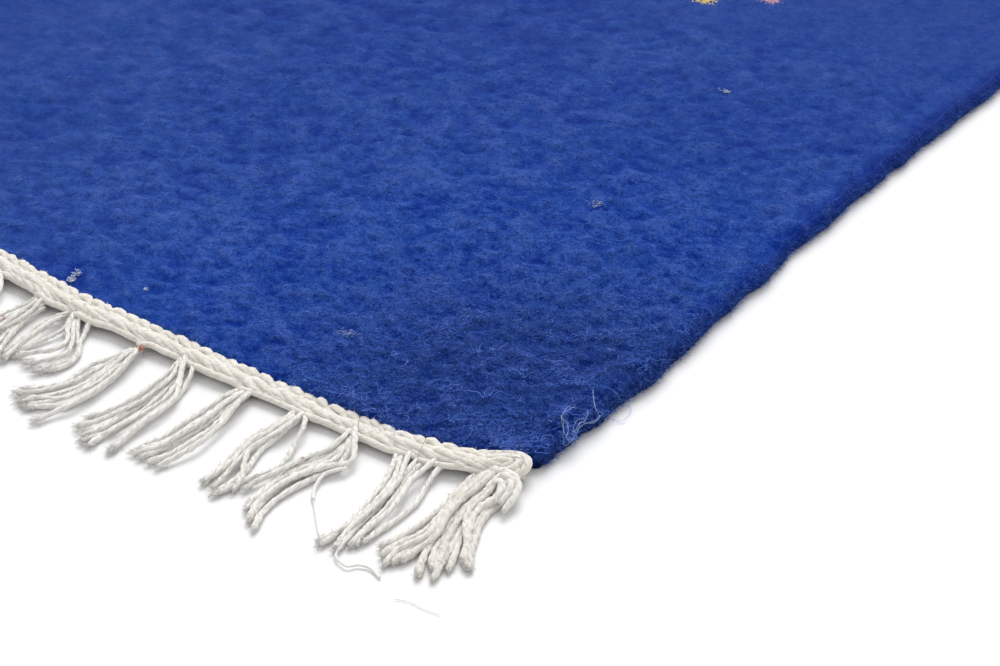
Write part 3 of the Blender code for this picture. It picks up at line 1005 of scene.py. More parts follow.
class KILIM_OT_nap(bpy.types.Operator):
    """Lay the loose fibres on the wool, thickest at the fine corner, and let some stand past the edges"""

    bl_idname = "kilim.nap"
    bl_label = "Loose wool fibres"

    SEED = 5

    # Fibres that lie on the wool: how many, between which distances from the fine corner, of how many
    # points, how long against the usual, and the tone of the darkest
    Lying = namedtuple("Lying", "count nearest furthest rings size darkest", defaults=(0.15,))
    LYING = {
        "nap_at_corner": (
            Lying(4600, 0.0, 0.115, 4, 0.52),
            Lying(11000, 0.0, 0.125, 2, 0.36),
        ),
        "nap_beyond": (
            Lying(700, 0.0, 0.085, 7, 1.5, 0.30),
            Lying(3800, 0.09, 0.27, 3, 0.75),
            Lying(8000, 0.10, 0.24, 2, 0.55),
        ),
    }
    # More places are tried than are kept, which lie on clumps and thin out away from the corner
    TRIED_FOR_EACH = 5
    CLUMP_SCATTER = 0.45
    LEAST_CLUMP = 0.05
    THINNED_FROM = 0.5
    # The mean and the scatter of their headings, and lengths and widths against the usual
    HEADING = (1.0, 0.65)
    LENGTHS = (0.35, 1.3)
    PALE_SHARE = 0.50
    PALE_WIDTHS = (0.9, 1.7)
    DARK_WIDTHS = (0.55, 1.05)
    PALE_TONES = (0.58, 1.0)
    DARK_TONES = 0.35
    LYING_ARCH = (0.0001, 0.0007)
    LYING_CURL = 0.85
    # Their tone at the wool's mean level and how much more it is on a clump, kept between these, and how far
    # it fades away from the corner. The tone by the clumps is painted shade: fibres in the pits are darker,
    # those on clumps lighter
    LEVEL_TONE = 0.75
    CLUMP_TONE = 0.35
    TONE_LIMITS = (0.1, 1.2)
    FADED_BY = 0.55
    FADED_REACH = 0.16

    # Fibres that stand past the sides: how many, of how many points, and between which lengths
    Standing = namedtuple("Standing", "count rings lengths")
    STANDING = (
        Standing(2200, 3, (0.0010, 0.0034)),
        Standing(10000, 2, (0.0006, 0.0022)),
    )
    FINE_SHARE = 0.80
    FINE_LENGTH = 0.30
    CLEAR_OF_ENDS = 0.002
    IN_FROM_SIDE = 0.0005
    LEAST_ROOT_HEIGHT = 0.0003
    STANDING_HEIGHTS = (0.25, 1.0)
    STANDING_SCATTER = 0.85
    STANDING_ARCH = (-0.0003, 0.0006)
    STANDING_CURL = 0.7
    STANDING_WIDTHS = (0.35, 0.75)
    STANDING_TONES = (0.1, 0.9)

    # Fibres combed down round the side edge: how far in their points are in millimetres, and how high
    # against the edge's top
    WRAPS = 2600
    WRAP_COURSE = ((1.6, 1.0), (0.5, 0.86), (-0.10, 0.55), (-0.15, 0.22))
    WRAP_LENGTH = 0.33
    WRAP_CLEAR_OF_END = 0.004
    WRAP_INSET = 0.0004
    WRAP_TOP_INSET = 0.0022
    WRAP_STRAYS = (0.00012, 0.00030)
    WRAP_WIDTHS = (0.5, 1.0)
    WRAP_TONE = 0.75

    def execute(self, context):
        wool = context.scene.kilim_wool
        chance = np.random.default_rng(self.SEED)
        material = nap_material(wool)
        for name, batches in self.LYING.items():
            yarns = Yarns()
            for batch in batches:
                self.lay(yarns, chance, wool, batch)
            piece(name, yarns.mesh(name), material)
        sides = Yarns()
        for batch in self.STANDING:
            self.stand(sides, chance, wool, batch)
        self.wrap(sides, chance, wool)
        piece("nap_past_sides", sides.mesh("nap_past_sides"), material)
        return {"FINISHED"}

    def spread(self, chance, batch):
        """Points of the straight cut, between two distances from the fine corner and most on its clumps."""
        tried = self.TRIED_FOR_EACH * batch.count
        angle = chance.uniform(0, math.pi / 2, tried)
        distance = np.sqrt(chance.uniform(batch.nearest**2, batch.furthest**2, tried))
        x = HALF_WIDTH - distance * np.cos(angle)
        y = distance * np.sin(angle) - HALF_LENGTH
        kept = relief(x, y) + chance.normal(0, self.CLUMP_SCATTER, tried) > self.LEAST_CLUMP
        thinned = smooth((distance / batch.furthest - self.THINNED_FROM) / (1 - self.THINNED_FROM))
        kept &= chance.random(tried) > thinned
        return x[kept][:batch.count], y[kept][:batch.count]

    def lay(self, yarns, chance, wool, batch):
        """Fibres that lie on the wool, curly if they have more than two points."""
        across, along = self.spread(chance, batch)
        count = len(across)
        x, y = laid(across, along)
        height = surface(across, along, wool.clump_height)
        roots = np.stack([x, y, height - LEAST_HEIGHT], axis=-1)
        heading = chance.normal(*self.HEADING, count) + math.pi * chance.integers(0, 2, count)
        length = wool.fibre_length * batch.size * chance.uniform(*self.LENGTHS, count)
        pale = chance.random(count) < self.PALE_SHARE
        pale_width = chance.uniform(*self.PALE_WIDTHS, count)
        width = wool.fibre_width * np.where(pale, pale_width, chance.uniform(*self.DARK_WIDTHS, count))
        paths = wandering_hairs(chance, roots, heading, length, self.LYING_ARCH, batch.rings, self.LYING_CURL)
        pale_tone = chance.uniform(*self.PALE_TONES, count)
        tones = np.where(pale, pale_tone, batch.darkest + self.DARK_TONES * chance.random(count))
        # Painted shade: fibres lying in the pits are darker, those on the clumps lighter
        on_clumps = self.LEVEL_TONE + self.CLUMP_TONE * relief(across, along)
        tones = tones * np.clip(on_clumps, *self.TONE_LIMITS)
        from_corner = 0.5 * (HALF_WIDTH - x) + 0.5 * (y + HALF_LENGTH)
        tones = tones * (1 - self.FADED_BY * smooth(from_corner / self.FADED_REACH))
        yarns.hairs(paths, width, tones)

    def stand(self, yarns, chance, wool, batch):
        """Fine fibres that stand out a little past the side edges, most of them by the fine corner."""
        count = batch.count
        side = np.where(chance.random(count) < self.FINE_SHARE, 1.0, -1.0)
        near = (chance.random(count) < self.FINE_SHARE) & (side > 0)
        from_end = np.where(near, self.FINE_LENGTH, FIELD_LENGTH) * chance.random(count)
        last = HALF_LENGTH - self.CLEAR_OF_ENDS
        y = np.clip(from_end - HALF_LENGTH, -last, last)
        x = side * (HALF_WIDTH - np.abs(chance.normal(0, self.IN_FROM_SIDE, count)))
        height = surface(x, y, wool.clump_height) * chance.uniform(*self.STANDING_HEIGHTS, count)
        heading = np.where(side > 0, 0.0, math.pi) + chance.normal(0, self.STANDING_SCATTER, count)
        length = chance.uniform(*batch.lengths, count)
        width = wool.fibre_width * chance.uniform(*self.STANDING_WIDTHS, count)
        roots = np.stack([*laid(x, y), np.maximum(height, self.LEAST_ROOT_HEIGHT)], axis=-1)
        arch = self.STANDING_ARCH
        paths = wandering_hairs(chance, roots, heading, length, arch, batch.rings, self.STANDING_CURL)
        yarns.hairs(lifted(paths), width, chance.uniform(*self.STANDING_TONES, count))

    def wrap(self, yarns, chance, wool):
        """Fibres combed down round the right-hand side edge."""
        count = self.WRAPS
        y = self.WRAP_CLEAR_OF_END - HALF_LENGTH + self.WRAP_LENGTH * chance.random(count) ** 1.3
        course = np.array(self.WRAP_COURSE)
        each = (count, len(course))
        x = HALF_WIDTH - (course[:, 0] * MM + chance.normal(0, self.WRAP_STRAYS[0], each) + self.WRAP_INSET)
        along = y[:, None] + np.cumsum(chance.normal(0, self.WRAP_STRAYS[1], each), axis=1)
        lx, ly = laid(np.minimum(x, HALF_WIDTH), along)
        lx = lx + np.maximum(x - HALF_WIDTH, 0)
        top = surface(HALF_WIDTH - self.WRAP_TOP_INSET, along, wool.clump_height)
        paths = np.stack([lx, ly, top * course[:, 1]], axis=-1)
        width = wool.fibre_width * chance.uniform(*self.WRAP_WIDTHS, count)
        yarns.hairs(paths, width, self.WRAP_TONE * chance.random(count) ** 1.5)


# One strand of each row of the web. Each point is how far along the end it is, how far out and how high, and
# how thick the strand is there, in millimetres. The first row's come from under the wool, round their loops
# on the field's edge and along under the second row's, which go on to the cord
WEB_ROWS = (
    ((-1.6, 0.9, 1.5, 0.85), (-1.2, 0.3, 2.6, 1.05), (0.1, -0.15, 3.15, 1.2), (1.6, 0.05, 3.2, 1.22),
     (3.4, 0.85, 3, 1.1), (5.6, 1.7, 2.65, 1), (8, 2.5, 2, 0.9)),
    ((-1, 1.1, 1.7, 0.85), (0.8, 1.75, 2.75, 1), (3.6, 2.25, 3, 1.15), (7, 2.85, 2.9, 1.15),
     (10.2, 3.5, 2.6, 1.05), (12.8, 4.2, 2.15, 0.95), (15, 4.6, 1.6, 0.8)),
)

# The strands that wrap round the end of the web, from its inner side. Their points are like the rows', and
# along from the middle of the wrap
WRAP_SHORT_OF_SIDE = 0.0067
WEB_WRAPS = (
    ((-10, 0.6, 1.2, 0.85), (-7, 0.15, 2.5, 1.05), (-3, -0.2, 3.1, 1.15), (0, -0.1, 3.3, 1.2),
     (2.3, 0.8, 3.2, 1.25), (3.1, 2.6, 3, 1.25), (2.5, 4.4, 2.6, 1.2), (0.6, 5.6, 2.1, 1.1),
     (-1.6, 5.6, 1.4, 0.9)),
    ((-9, 1.6, 1.4, 0.85), (-5, 1.3, 2.9, 1.05), (-1.5, 1.2, 3.5, 1.1), (0.6, 1.8, 3.7, 1.1),
     (1.3, 3.1, 3.5, 1.1), (0.4, 4.4, 3.1, 1.05), (-1.6, 4.9, 2.4, 0.9), (-3.4, 4.6, 1.4, 0.8)),
    ((-7.5, 2.9, 1.6, 0.85), (-4.5, 2.7, 2.9, 1), (-1.8, 2.5, 3.6, 0.95), (-0.3, 3, 3.8, 0.85),
     (-0.7, 3.9, 3.5, 0.8), (-2.2, 4.2, 2.6, 0.8)),
)

# How much higher the web's strands lie at these distances from the right-hand side edge, in millimetres
WEB_LIFTS = (
    (0, 1.1), (12, 1.0), (30, 0.35), (46, -0.55), (60, -0.35), (80, 0), (104, 0), (120, 0.7), (150, 1.0),
    (190, 0),
)


def end_lift(x):
    """How much higher the web lies here than over most of its length, in the frame of one end."""
    return by_distance(WEB_LIFTS, HALF_WIDTH - x)


class KILIM_OT_webs(bpy.types.Operator):
    """Plait the cotton web across each end"""

    bl_idname = "kilim.webs"
    bl_label = "Plaited webs"

    TWIST = 0.0062
    FUZZ_LENGTH = (0.0003, 0.0010)
    MARKED = 0.3
    PLY = 0.03
    ROUGH = 0.065
    # For the near end, and for the far one
    SIDES = (8, 6)
    FUZZ_EACH = (40, 8)
    CORD_FUZZ_EACH = (70, 20)

    # A row starts and stops this far inside the web's ends, and its strands stay this clear of the right one
    ROW_STARTS = 0.001
    ROW_STOPS = 0.010
    ROW_CLEAR = 0.0034
    ROW_RINGS = 11
    ROW_PRESSED = 0.66
    ROW_THICK = (0.90, 1.08)
    PITCH_STRAYS = 0.00034
    POINTS_STRAY = 0.00018
    WRAP_RINGS = 28
    WRAP_PRESSED = 0.9

    # The cord between two tassels' roots: what share of the way its points are, how much further along,
    # how far out and how high
    CORD_COURSE = (
        (0, -0.0016, 0.0050, 0.0012),
        (0, 0.0002, 0.0057, 0.0023),
        (0.22, 0, 0.0053, 0.0023),
        (0.50, 0, 0.0049, 0.0021),
        (0.80, 0, 0.0048, 0.0020),
        (1, 0.0004, 0.0047, 0.0017),
    )
    CORD_RINGS = 20
    CORD_RADIUS = 0.00088
    CORD_THICK = (0.88, 1.08)
    CORD_STRAYS = 0.00020
    CORD_STARTS = 0.004
    CORD_CLEAR = 0.003

    def execute(self, context):
        cotton = context.scene.kilim_cotton
        material = cotton_material("plaited_cotton", cotton.web, cotton, self.MARKED)
        for end, turn in ENDS:
            yarns = Yarns()
            chance = np.random.default_rng(SEEDS[end])
            for strand in WEB_ROWS:
                self.row(yarns, chance, cotton, turn, strand)
            self.wraps(yarns, chance, turn)
            self.cords(yarns, chance, end, turn)
            name = f"plaited_web_{end}"
            piece(name, yarns.mesh(name), material, [f"end_web_{end}"])
        return {"FINISHED"}

    def row(self, yarns, chance, cotton, turn, strand):
        """One row of the web, with a strand at each pitch."""
        last = HALF_WIDTH - WEB_SHORT_OF_SIDE
        starts = np.arange(-last + self.ROW_STARTS, last - self.ROW_STOPS, cotton.loop_pitch)
        starts = starts + chance.normal(0, self.PITCH_STRAYS, len(starts))
        table = np.array(strand) * MM
        course = np.broadcast_to(table[:, :3], (len(starts), len(table), 3)).copy()
        course[:, :, 0] += starts[:, None]
        course[:, 1:-1] += chance.normal(0, self.POINTS_STRAY, (len(starts), len(table) - 2, 3))
        course[:, :, 0] = np.minimum(course[:, :, 0], last - self.ROW_CLEAR)
        fine = through(course, self.ROW_RINGS)
        thick = through(np.broadcast_to(table[:, 3:], (len(starts), len(table), 1)), self.ROW_RINGS)[..., 0]
        thick = thick * chance.uniform(*self.ROW_THICK, (len(starts), 1))
        self.lay(yarns, chance, fine, thick, self.ROW_PRESSED, turn)

    def wraps(self, yarns, chance, turn):
        """The strands that wrap round each end of the web."""
        middle = HALF_WIDTH - WRAP_SHORT_OF_SIDE
        for hand in (1, -1):
            for strand in WEB_WRAPS:
                fine = through(np.array(strand)[None] * MM, self.WRAP_RINGS)
                fine[..., 0] = hand * (middle + fine[..., 0])
                self.lay(yarns, chance, fine[..., :3], fine[..., 3], self.WRAP_PRESSED, turn)

    def lay(self, yarns, chance, course, thick, pressed, turn):
        """Strands along these courses, each a distance along the end, out from it and up."""
        along, out, height = np.moveaxis(course, -1, 0)
        paths = end_point(along, out + let_out(along), height + end_lift(along))
        paths = turned(paths) if turn else paths
        tones = chance.random(len(paths))
        yarns.tubes(paths, thick, self.SIDES[turn], tones, self.PLY, self.TWIST, pressed, self.ROUGH, chance)
        yarns.fuzz(chance, paths, thick * 0.9, tones, self.FUZZ_EACH[turn], self.FUZZ_LENGTH)

    def cords(self, yarns, chance, end, turn):
        """Under the web's outer edge a cord passes from each tassel's root to the next."""
        roots = [x for x, tassel in tassel_rows(end)]
        last = HALF_WIDTH - self.CORD_STARTS
        stops = np.array([-last, *roots])[:, None]
        ahead = np.array([*roots, last])[:, None]
        share, further, out, height = np.array(self.CORD_COURSE).T
        along = np.where(share < 1, stops + share * (ahead - stops), ahead) + further
        course = np.stack(np.broadcast_arrays(along, out, height), axis=-1)
        course[:, 1:-1, 1:] += chance.normal(0, self.CORD_STRAYS, course[:, 1:-1, 1:].shape)
        along, out, height = np.moveaxis(through(course, self.CORD_RINGS), -1, 0)
        last = HALF_WIDTH - self.CORD_CLEAR
        along = np.clip(along, -last, last)
        paths = end_point(along, out + let_out(along), height + 0.5 * end_lift(along))
        paths = turned(paths) if turn else paths
        thick = self.CORD_RADIUS * chance.uniform(*self.CORD_THICK, (len(paths), 1))
        radii = np.broadcast_to(thick, paths.shape[:2])
        tones = chance.random(len(paths))
        yarns.tubes(paths, radii, 8, tones, 0.06, self.TWIST, 1.0, 0.04, chance)
        yarns.fuzz(chance, paths, radii, tones, self.CORD_FUZZ_EACH[turn], self.FUZZ_LENGTH)


def tassel_rows(end):
    """Every tassel of one end from left to right: tabled ones by the right corner, then a seeded run."""
    chance = random.Random(SEEDS[end])
    rows = {HALF_WIDTH - t.from_side: t for t in CORNER_TASSELS}
    first = min(rows)
    last = -HALF_WIDTH + CORNER_TASSELS[0].from_side
    count = round((first - last) / TASSEL_PITCH)
    for n in range(1, count + 1):
        jitter = chance.uniform(-TASSEL_JITTER, TASSEL_JITTER) if n < count else 0
        x = first + (last - first) * n / count + jitter
        spread = chance.uniform(*SPREAD_RANGE)
        room = left_tip(*min(rows.items())) - TIP_GAP - spread / 2 - x
        lean = min(chance.uniform(*LEAN_RANGE), room)
        rows[x] = Tassel(HALF_WIDTH - x, lean, chance.uniform(*REACH_RANGE), spread)
    return sorted(rows.items())


def left_tip(x, tassel):
    """The X of the left-hand edge of a tassel's tips."""
    return x + tassel.lean - tassel.spread / 2


# The tassels nearest the right-hand corner of an end, strand by strand, from the side edge inwards. Each
# point is how far it is to the right of its tassel's root, how far out from it and how high, in millimetres
TASSEL_STRANDS = (
    (
        ((-3.3, -2.3, 1.3), (-5.1, 3, 1.9), (-5.7, 8.8, 1.1), (-5.4, 14.6, 0.9), (-4.9, 20.4, 0.9),
         (-5.1, 26.3, 0.9), (-5.9, 32.1, 0.8), (-7.3, 37.7, 0.9)),
        ((-1.7, -1.7, 2), (-2.7, 4.6, 2.8), (-3, 11, 2.2), (-2.6, 17.6, 2.1), (-1.2, 24, 2.1),
         (-0.6, 30.4, 2), (-3, 36.5, 1.4), (-2.6, 42.5, 0.8)),
        ((-0.5, -1.2, 2.3), (-1.1, 4.6, 3.1), (-1.8, 10.4, 2.3), (-1.9, 16.3, 2.1), (-1, 22.2, 2.1),
         (1.1, 27.7, 2.1), (0.4, 33.4, 1.4), (-0.5, 39.2, 0.9)),
        ((-3.8, -4, 1.2), (-5.2, 2.6, 1.3), (-5.5, 9.3, 1), (-4.4, 16, 0.9), (-2.1, 22.3, 0.9),
         (0.6, 28.5, 0.9), (2.6, 35, 0.9), (5.8, 40.9, 0.9)),
        ((1.3, -1, 2.4), (0.9, 4.1, 3.2), (0.7, 9.3, 2.5), (0.6, 14.6, 2.1), (1.5, 19.8, 2.1),
         (2.9, 24.9, 2), (4.6, 29.8, 1.4), (8, 33.8, 0.9)),
        ((-0.4, -1.6, 1.6), (-0.6, 4, 2.1), (-0.8, 9.7, 1.1), (-0.4, 15.4, 0.9), (1.1, 21, 0.9),
         (2.8, 26.5, 0.9), (5, 31.9, 0.9), (7.9, 36.8, 0.9)),
        ((0.6, -1.2, 1.8), (4.1, 2.3, 2.5), (5.2, 7.2, 1.2), (4.5, 12.4, 0.8), (5.5, 17.7, 0.9),
         (7.6, 22.6, 0.8), (9.9, 27.5, 0.9), (12.3, 32.3, 0.9)),
        ((0.8, -0.2, 2.5), (2.8, 4.2, 3.3), (4.8, 8.5, 2.6), (3.2, 13.1, 2.1), (3.6, 18, 2.1),
         (5.6, 22.5, 2), (8.3, 26.6, 1.4), (10.6, 31, 0.9)),
        ((-0.6, 0.7, 2.7), (1.1, 5.5, 3.4), (1.7, 10.5, 2.6), (1.4, 15.7, 2.1), (3.3, 20.5, 2.1),
         (6.5, 24.6, 2), (10.1, 28.3, 1.4), (13.5, 32.3, 0.8)),
        ((0.3, -0.3, 1.5), (1.7, 5.3, 2.1), (3.3, 10.8, 1), (3.4, 16.8, 0.9), (3.8, 22.6, 0.8),
         (5.4, 28.4, 0.9), (7.2, 34.1, 0.9), (8.9, 39.9, 0.9)),
    ),
    (
        ((-7.6, 0.8, 1.3), (-4.6, 6.4, 1.8), (-2.3, 12.4, 1), (-1.2, 18.9, 0.9), (0.1, 25.4, 0.9),
         (0.5, 31.9, 0.9), (0.2, 38.5, 0.9)),
        ((-5, -1.4, 2), (-2.3, 4.7, 2.8), (0.5, 11, 2.2), (1.8, 17.7, 2.1), (2.3, 24.5, 2.1),
         (2.3, 31.4, 1.5), (3.5, 37.7, 0.9)),
        ((-1.1, -1.7, 1.6), (-0.5, 4.7, 2), (0.2, 11.2, 1), (1.5, 17.7, 0.9), (2.4, 24.3, 0.9),
         (2.9, 30.9, 0.8), (4.1, 37.3, 0.9)),
        ((2.4, -3, 2.2), (3.3, 3.2, 3), (3, 9.6, 2.3), (4.7, 15.8, 2.1), (6, 22.1, 2.1), (5.4, 28.5, 1.5),
         (5.5, 35, 0.8)),
        ((0.2, -3, 1.2), (0.7, 3.2, 1.7), (1, 9.5, 1), (2.8, 15.6, 0.9), (4, 21.8, 0.9), (4.7, 28, 0.9),
         (6.8, 34, 0.8)),
        ((5.3, -3.5, 1.3), (5.2, 2.5, 2), (6.2, 8.4, 1), (7.9, 14.2, 0.9), (8.1, 20.3, 0.8),
         (7.6, 26.4, 0.9), (7.2, 32.4, 0.9)),
        ((-7.3, -1.4, 1.2), (-4, 4.7, 1.7), (-0.9, 10.9, 2), (0.9, 17.6, 2.1), (1.7, 24.6, 2.1),
         (0.9, 31.4, 1.5), (-1.1, 37.7, 0.9)),
    ),
    (
        ((-1.6, 0.5, 2), (-0.3, 4.9, 3), (-0.5, 9.4, 2.5), (-2.5, 13.7, 2.1), (-3.7, 18.2, 2.1),
         (-4.7, 22.8, 2.1), (-6.7, 27.1, 1.4), (-7.6, 31.6, 0.9)),
        ((-0.7, -0.2, 2.4), (3.2, 4.7, 3.1), (6.4, 10.1, 2.2), (2.9, 15.1, 2.1), (0.1, 20.9, 2.1),
         (-1.2, 27.2, 2), (-1.3, 33.7, 1.4), (1.2, 39.6, 0.9)),
        ((-0.6, 0.9, 1.3), (1.5, 5.9, 1.9), (2.1, 11.1, 1.1), (-0.1, 16.2, 0.9), (-1.1, 21.6, 0.8),
         (-1.6, 27.1, 0.9), (-1.1, 32.6, 0.8), (0.4, 38, 0.9)),
        ((-2.1, 1.5, 1.2), (-0.5, 6.4, 1.7), (-0.6, 11.4, 1.2), (-2.9, 16.1, 0.9), (-3.6, 21.3, 0.8),
         (-4, 26.5, 0.8), (-3.6, 31.7, 0.9), (-2.2, 36.7, 0.9)),
        ((0.4, 1.7, 1.6), (3.2, 6.7, 2), (4.2, 12.2, 1.1), (2.7, 18, 0.8), (1.4, 23.9, 0.9),
         (0.8, 29.8, 0.9), (1.6, 35.7, 0.9), (3.8, 41.2, 0.9)),
        ((-0.4, 2.7, 1.2), (0.8, 7.3, 1.5), (0.5, 11.9, 1.2), (-1.5, 16.3, 0.9), (-2.9, 20.8, 0.8),
         (-3.5, 25.6, 0.9), (-3.2, 30.4, 0.9), (-3.2, 35.2, 0.9)),
    ),
    (
        ((-3.2, 0.9, 1.2), (-2.7, 5.7, 1.9), (-3.8, 10.4, 1.3), (-5, 15.2, 0.9), (-4.5, 20.1, 0.9),
         (-3.7, 25, 0.9), (-3.3, 29.9, 0.8), (-2.3, 34.8, 0.8)),
        ((-0.4, 2, 2.2), (0.3, 6.6, 3), (0.1, 11.2, 2.6), (-1.3, 15.8, 2.1), (-1.1, 20.4, 2.1),
         (1, 24.6, 2), (3.6, 28.6, 1.4), (5, 33.1, 0.9)),
        ((-0.4, 2.3, 1.5), (0.1, 7, 2.1), (-0.1, 11.7, 1.4), (-0.3, 16.5, 0.9), (0.9, 21.2, 0.9),
         (2.2, 25.8, 0.8), (2.7, 30.6, 0.9), (2.5, 35.4, 0.8)),
        ((0.7, 2.5, 2), (3.6, 6.8, 2.6), (5.1, 11.7, 1.2), (7, 16.7, 0.9), (7.3, 21.9, 0.9),
         (5, 26.7, 0.9), (3.8, 32, 0.9), (2.2, 37.1, 0.9)),
        ((-1.9, 3.6, 1.5), (-1.8, 8, 2.4), (-2, 12.5, 2.4), (-2.9, 16.9, 2.2), (-2.5, 21.4, 2.1),
         (-1.7, 25.9, 2), (-2, 30.4, 1.4), (-2.9, 34.8, 0.9)),
        ((-1.6, 3.4, 1.2), (-1.2, 7.9, 1.9), (-0.8, 12.5, 2.1), (-1.2, 17.1, 2.1), (-1.2, 21.7, 2.1),
         (-0.5, 26.3, 2), (0.2, 30.8, 1.4), (0.7, 35.4, 0.9)),
    ),
    (
        ((-0.4, 1.7, 1.2), (-1.5, 6.7, 1.8), (-2.2, 11.8, 1.2), (-2.7, 17, 0.9), (-3, 22.2, 0.9),
         (-3, 27.4, 0.9), (-4.1, 32.5, 0.9)),
        ((1, 2.8, 1.8), (1.4, 8.2, 2.8), (1.2, 13.8, 2.3), (1.1, 19.4, 2.1), (0.5, 25, 2.1),
         (-1.3, 30.3, 1.5), (-4.3, 35, 0.9)),
        ((1.4, 2.8, 1.5), (2.5, 8.3, 2.1), (1.9, 14, 1.1), (1.7, 19.8, 0.9), (0.9, 25.6, 0.9),
         (-0.1, 31.4, 0.9), (-2.2, 36.8, 0.9)),
        ((2, 3.8, 1.2), (2.8, 9.3, 1.8), (3.5, 14.8, 1.1), (3.8, 20.5, 0.9), (3.3, 26.1, 0.9),
         (2.7, 31.7, 0.9), (0.8, 37, 0.9)),
        ((2.6, 3.5, 2.2), (3.9, 8.9, 3), (5, 14.5, 2.3), (6, 20.1, 2.1), (6.3, 25.8, 2.1),
         (5.2, 31.3, 1.5), (3.7, 36.8, 0.9)),
        ((0, 2.4, 1.2), (0.4, 8.4, 1.8), (0.6, 14.3, 2), (0.4, 20.3, 2.1), (0.4, 26.3, 2.1), (-1, 32, 1.5),
         (-4.8, 36.4, 0.9)),
    ),
    (
        ((-2.2, -0.8, 1.3), (-0.6, 3.6, 2), (0, 8.3, 1.3), (-0.2, 13.1, 0.9), (0, 18, 0.9),
         (-0.4, 22.8, 0.9), (-1.5, 27.5, 0.9), (-3.2, 32, 0.9)),
        ((-1.2, 0, 1.6), (0.9, 5, 2.5), (2.9, 10.1, 2.3), (3.2, 15.7, 2.1), (3.4, 21.2, 2.1),
         (2.2, 26.6, 2), (0.1, 31.7, 1.4), (-2.9, 36.3, 0.9)),
        ((-1, -0.6, 2.3), (2, 4.3, 3.1), (5.2, 9.2, 2.3), (8.5, 14, 2.1), (9.8, 19.8, 2.1),
         (9.6, 25.7, 2.1), (9.6, 31.6, 1.4), (10.1, 37.4, 0.9)),
        ((1.2, 0.4, 2), (4.9, 4.5, 2.4), (7, 9.8, 1), (8.6, 15.4, 0.9), (8.9, 21.3, 0.9), (9, 27.2, 0.9),
         (9.6, 33.1, 0.9), (10, 39, 0.9)),
        ((-0.8, 0.1, 1.2), (1.4, 5.5, 1.6), (3.6, 10.9, 1), (4.6, 16.7, 0.9), (5.1, 22.5, 0.8),
         (5, 28.4, 0.9), (4.6, 34.3, 0.9), (4.5, 40.2, 0.9)),
        ((0.7, 2.1, 1.2), (1.9, 7.1, 1.8), (2.9, 12.2, 1.2), (3.4, 17.5, 0.9), (3.4, 22.8, 0.9),
         (2.7, 28, 0.9), (2.3, 33.3, 0.9), (0.6, 38.2, 0.9)),
        ((0.5, 0.9, 1.2), (2.9, 6.2, 1.9), (5.7, 11.4, 2.1), (7.3, 17, 2.1), (7.3, 22.9, 2.1),
         (6.6, 28.7, 2.1), (4.9, 34.3, 1.4), (2.1, 39.5, 0.9)),
    ),
    (
        ((0.3, 2.7, 1.2), (-0.6, 7.3, 2), (-2.7, 11.5, 1.4), (-4.9, 15.6, 0.9), (-4.8, 20.3, 0.9),
         (-4.9, 25, 0.9), (-7.4, 28.9, 0.9), (-10.5, 32.6, 0.9)),
        ((1.3, 3.6, 1.8), (1, 8.5, 2.8), (1.1, 13.6, 2.4), (1.4, 18.7, 2.1), (1.8, 23.8, 2.1),
         (0.8, 28.8, 2), (-1.7, 33.1, 1.3), (-5.5, 36.5, 0.9)),
        ((1.2, 5.1, 2), (2.8, 9.8, 2.9), (3.9, 14.8, 2.4), (4.3, 19.9, 2.1), (4.6, 25.1, 2.1),
         (4.2, 30.2, 2), (2.5, 35, 1.4), (0.9, 39.9, 0.9)),
        ((0.2, 3.6, 1.2), (-0.1, 8.6, 1.6), (-0.7, 13.6, 1.2), (-0.4, 18.6, 0.9), (-0.7, 23.6, 0.9),
         (-2.4, 28.4, 0.9), (-5, 32.6, 0.9), (-7.9, 36.8, 0.9)),
        ((1, 3.9, 1.5), (0.3, 8.5, 2.2), (-1.5, 12.9, 1.4), (-2.6, 17.5, 0.9), (-3.3, 22.3, 0.9),
         (-5, 26.9, 0.9), (-7.5, 31, 0.9), (-10.9, 34.5, 0.9)),
        ((0.6, 5.3, 1.2), (2.3, 10.2, 1.7), (3.5, 15.3, 1.2), (3.9, 20.6, 0.9), (3.8, 25.9, 0.9),
         (2.4, 31, 0.9), (-1.5, 34.2, 0.9), (-5.2, 37.4, 0.9)),
        ((0.1, 5.2, 1.2), (1.3, 10.3, 1.7), (2.2, 15.4, 2), (2.8, 20.6, 2.1), (2, 25.8, 2.1),
         (0.5, 30.8, 2), (-4.2, 32.8, 1.4), (-8.5, 35.2, 0.9)),
    ),
    (
        ((-1.7, -0.6, 1.5), (-3.2, 3.3, 2.3), (-5.5, 6.9, 1.6), (-6.1, 11.1, 1), (-5.9, 15.4, 0.9),
         (-5.4, 19.7, 0.8), (-4.8, 24, 0.9)),
        ((-2.3, 0.8, 2), (-0.3, 4.9, 2.9), (2.3, 8.9, 2.5), (5.4, 12.5, 2.1), (5.2, 16.9, 2.1),
         (1.6, 19.9, 1.5), (-1.7, 23.3, 0.9)),
        ((-0.9, 0.2, 2), (1.6, 4.4, 2.4), (4.7, 8.2, 1.3), (8.3, 11.7, 0.9), (10.8, 16, 0.9),
         (9, 20.7, 0.9), (7, 25.4, 0.9)),
        ((-1.9, 0.3, 1.3), (0.4, 4.5, 2.2), (3.6, 8.4, 2.3), (7, 12.2, 2.1), (9, 16.6, 2.1),
         (6.2, 20.6, 1.5), (2.8, 24.3, 0.9)),
        ((-2.3, 1.2, 1.2), (-1.3, 4.7, 1.8), (0.2, 8.1, 1.5), (-0.4, 11.8, 1.1), (-1.4, 15.4, 0.9),
         (-2, 19.1, 0.9), (-3, 22.6, 0.9)),
        ((-3, 0.3, 1.2), (-3.5, 4.6, 1.8), (-3.9, 8.9, 2.1), (-3.7, 13.3, 2.1), (-3.4, 17.6, 2.1),
         (-3.2, 22, 1.6), (-2.8, 26.2, 0.9)),
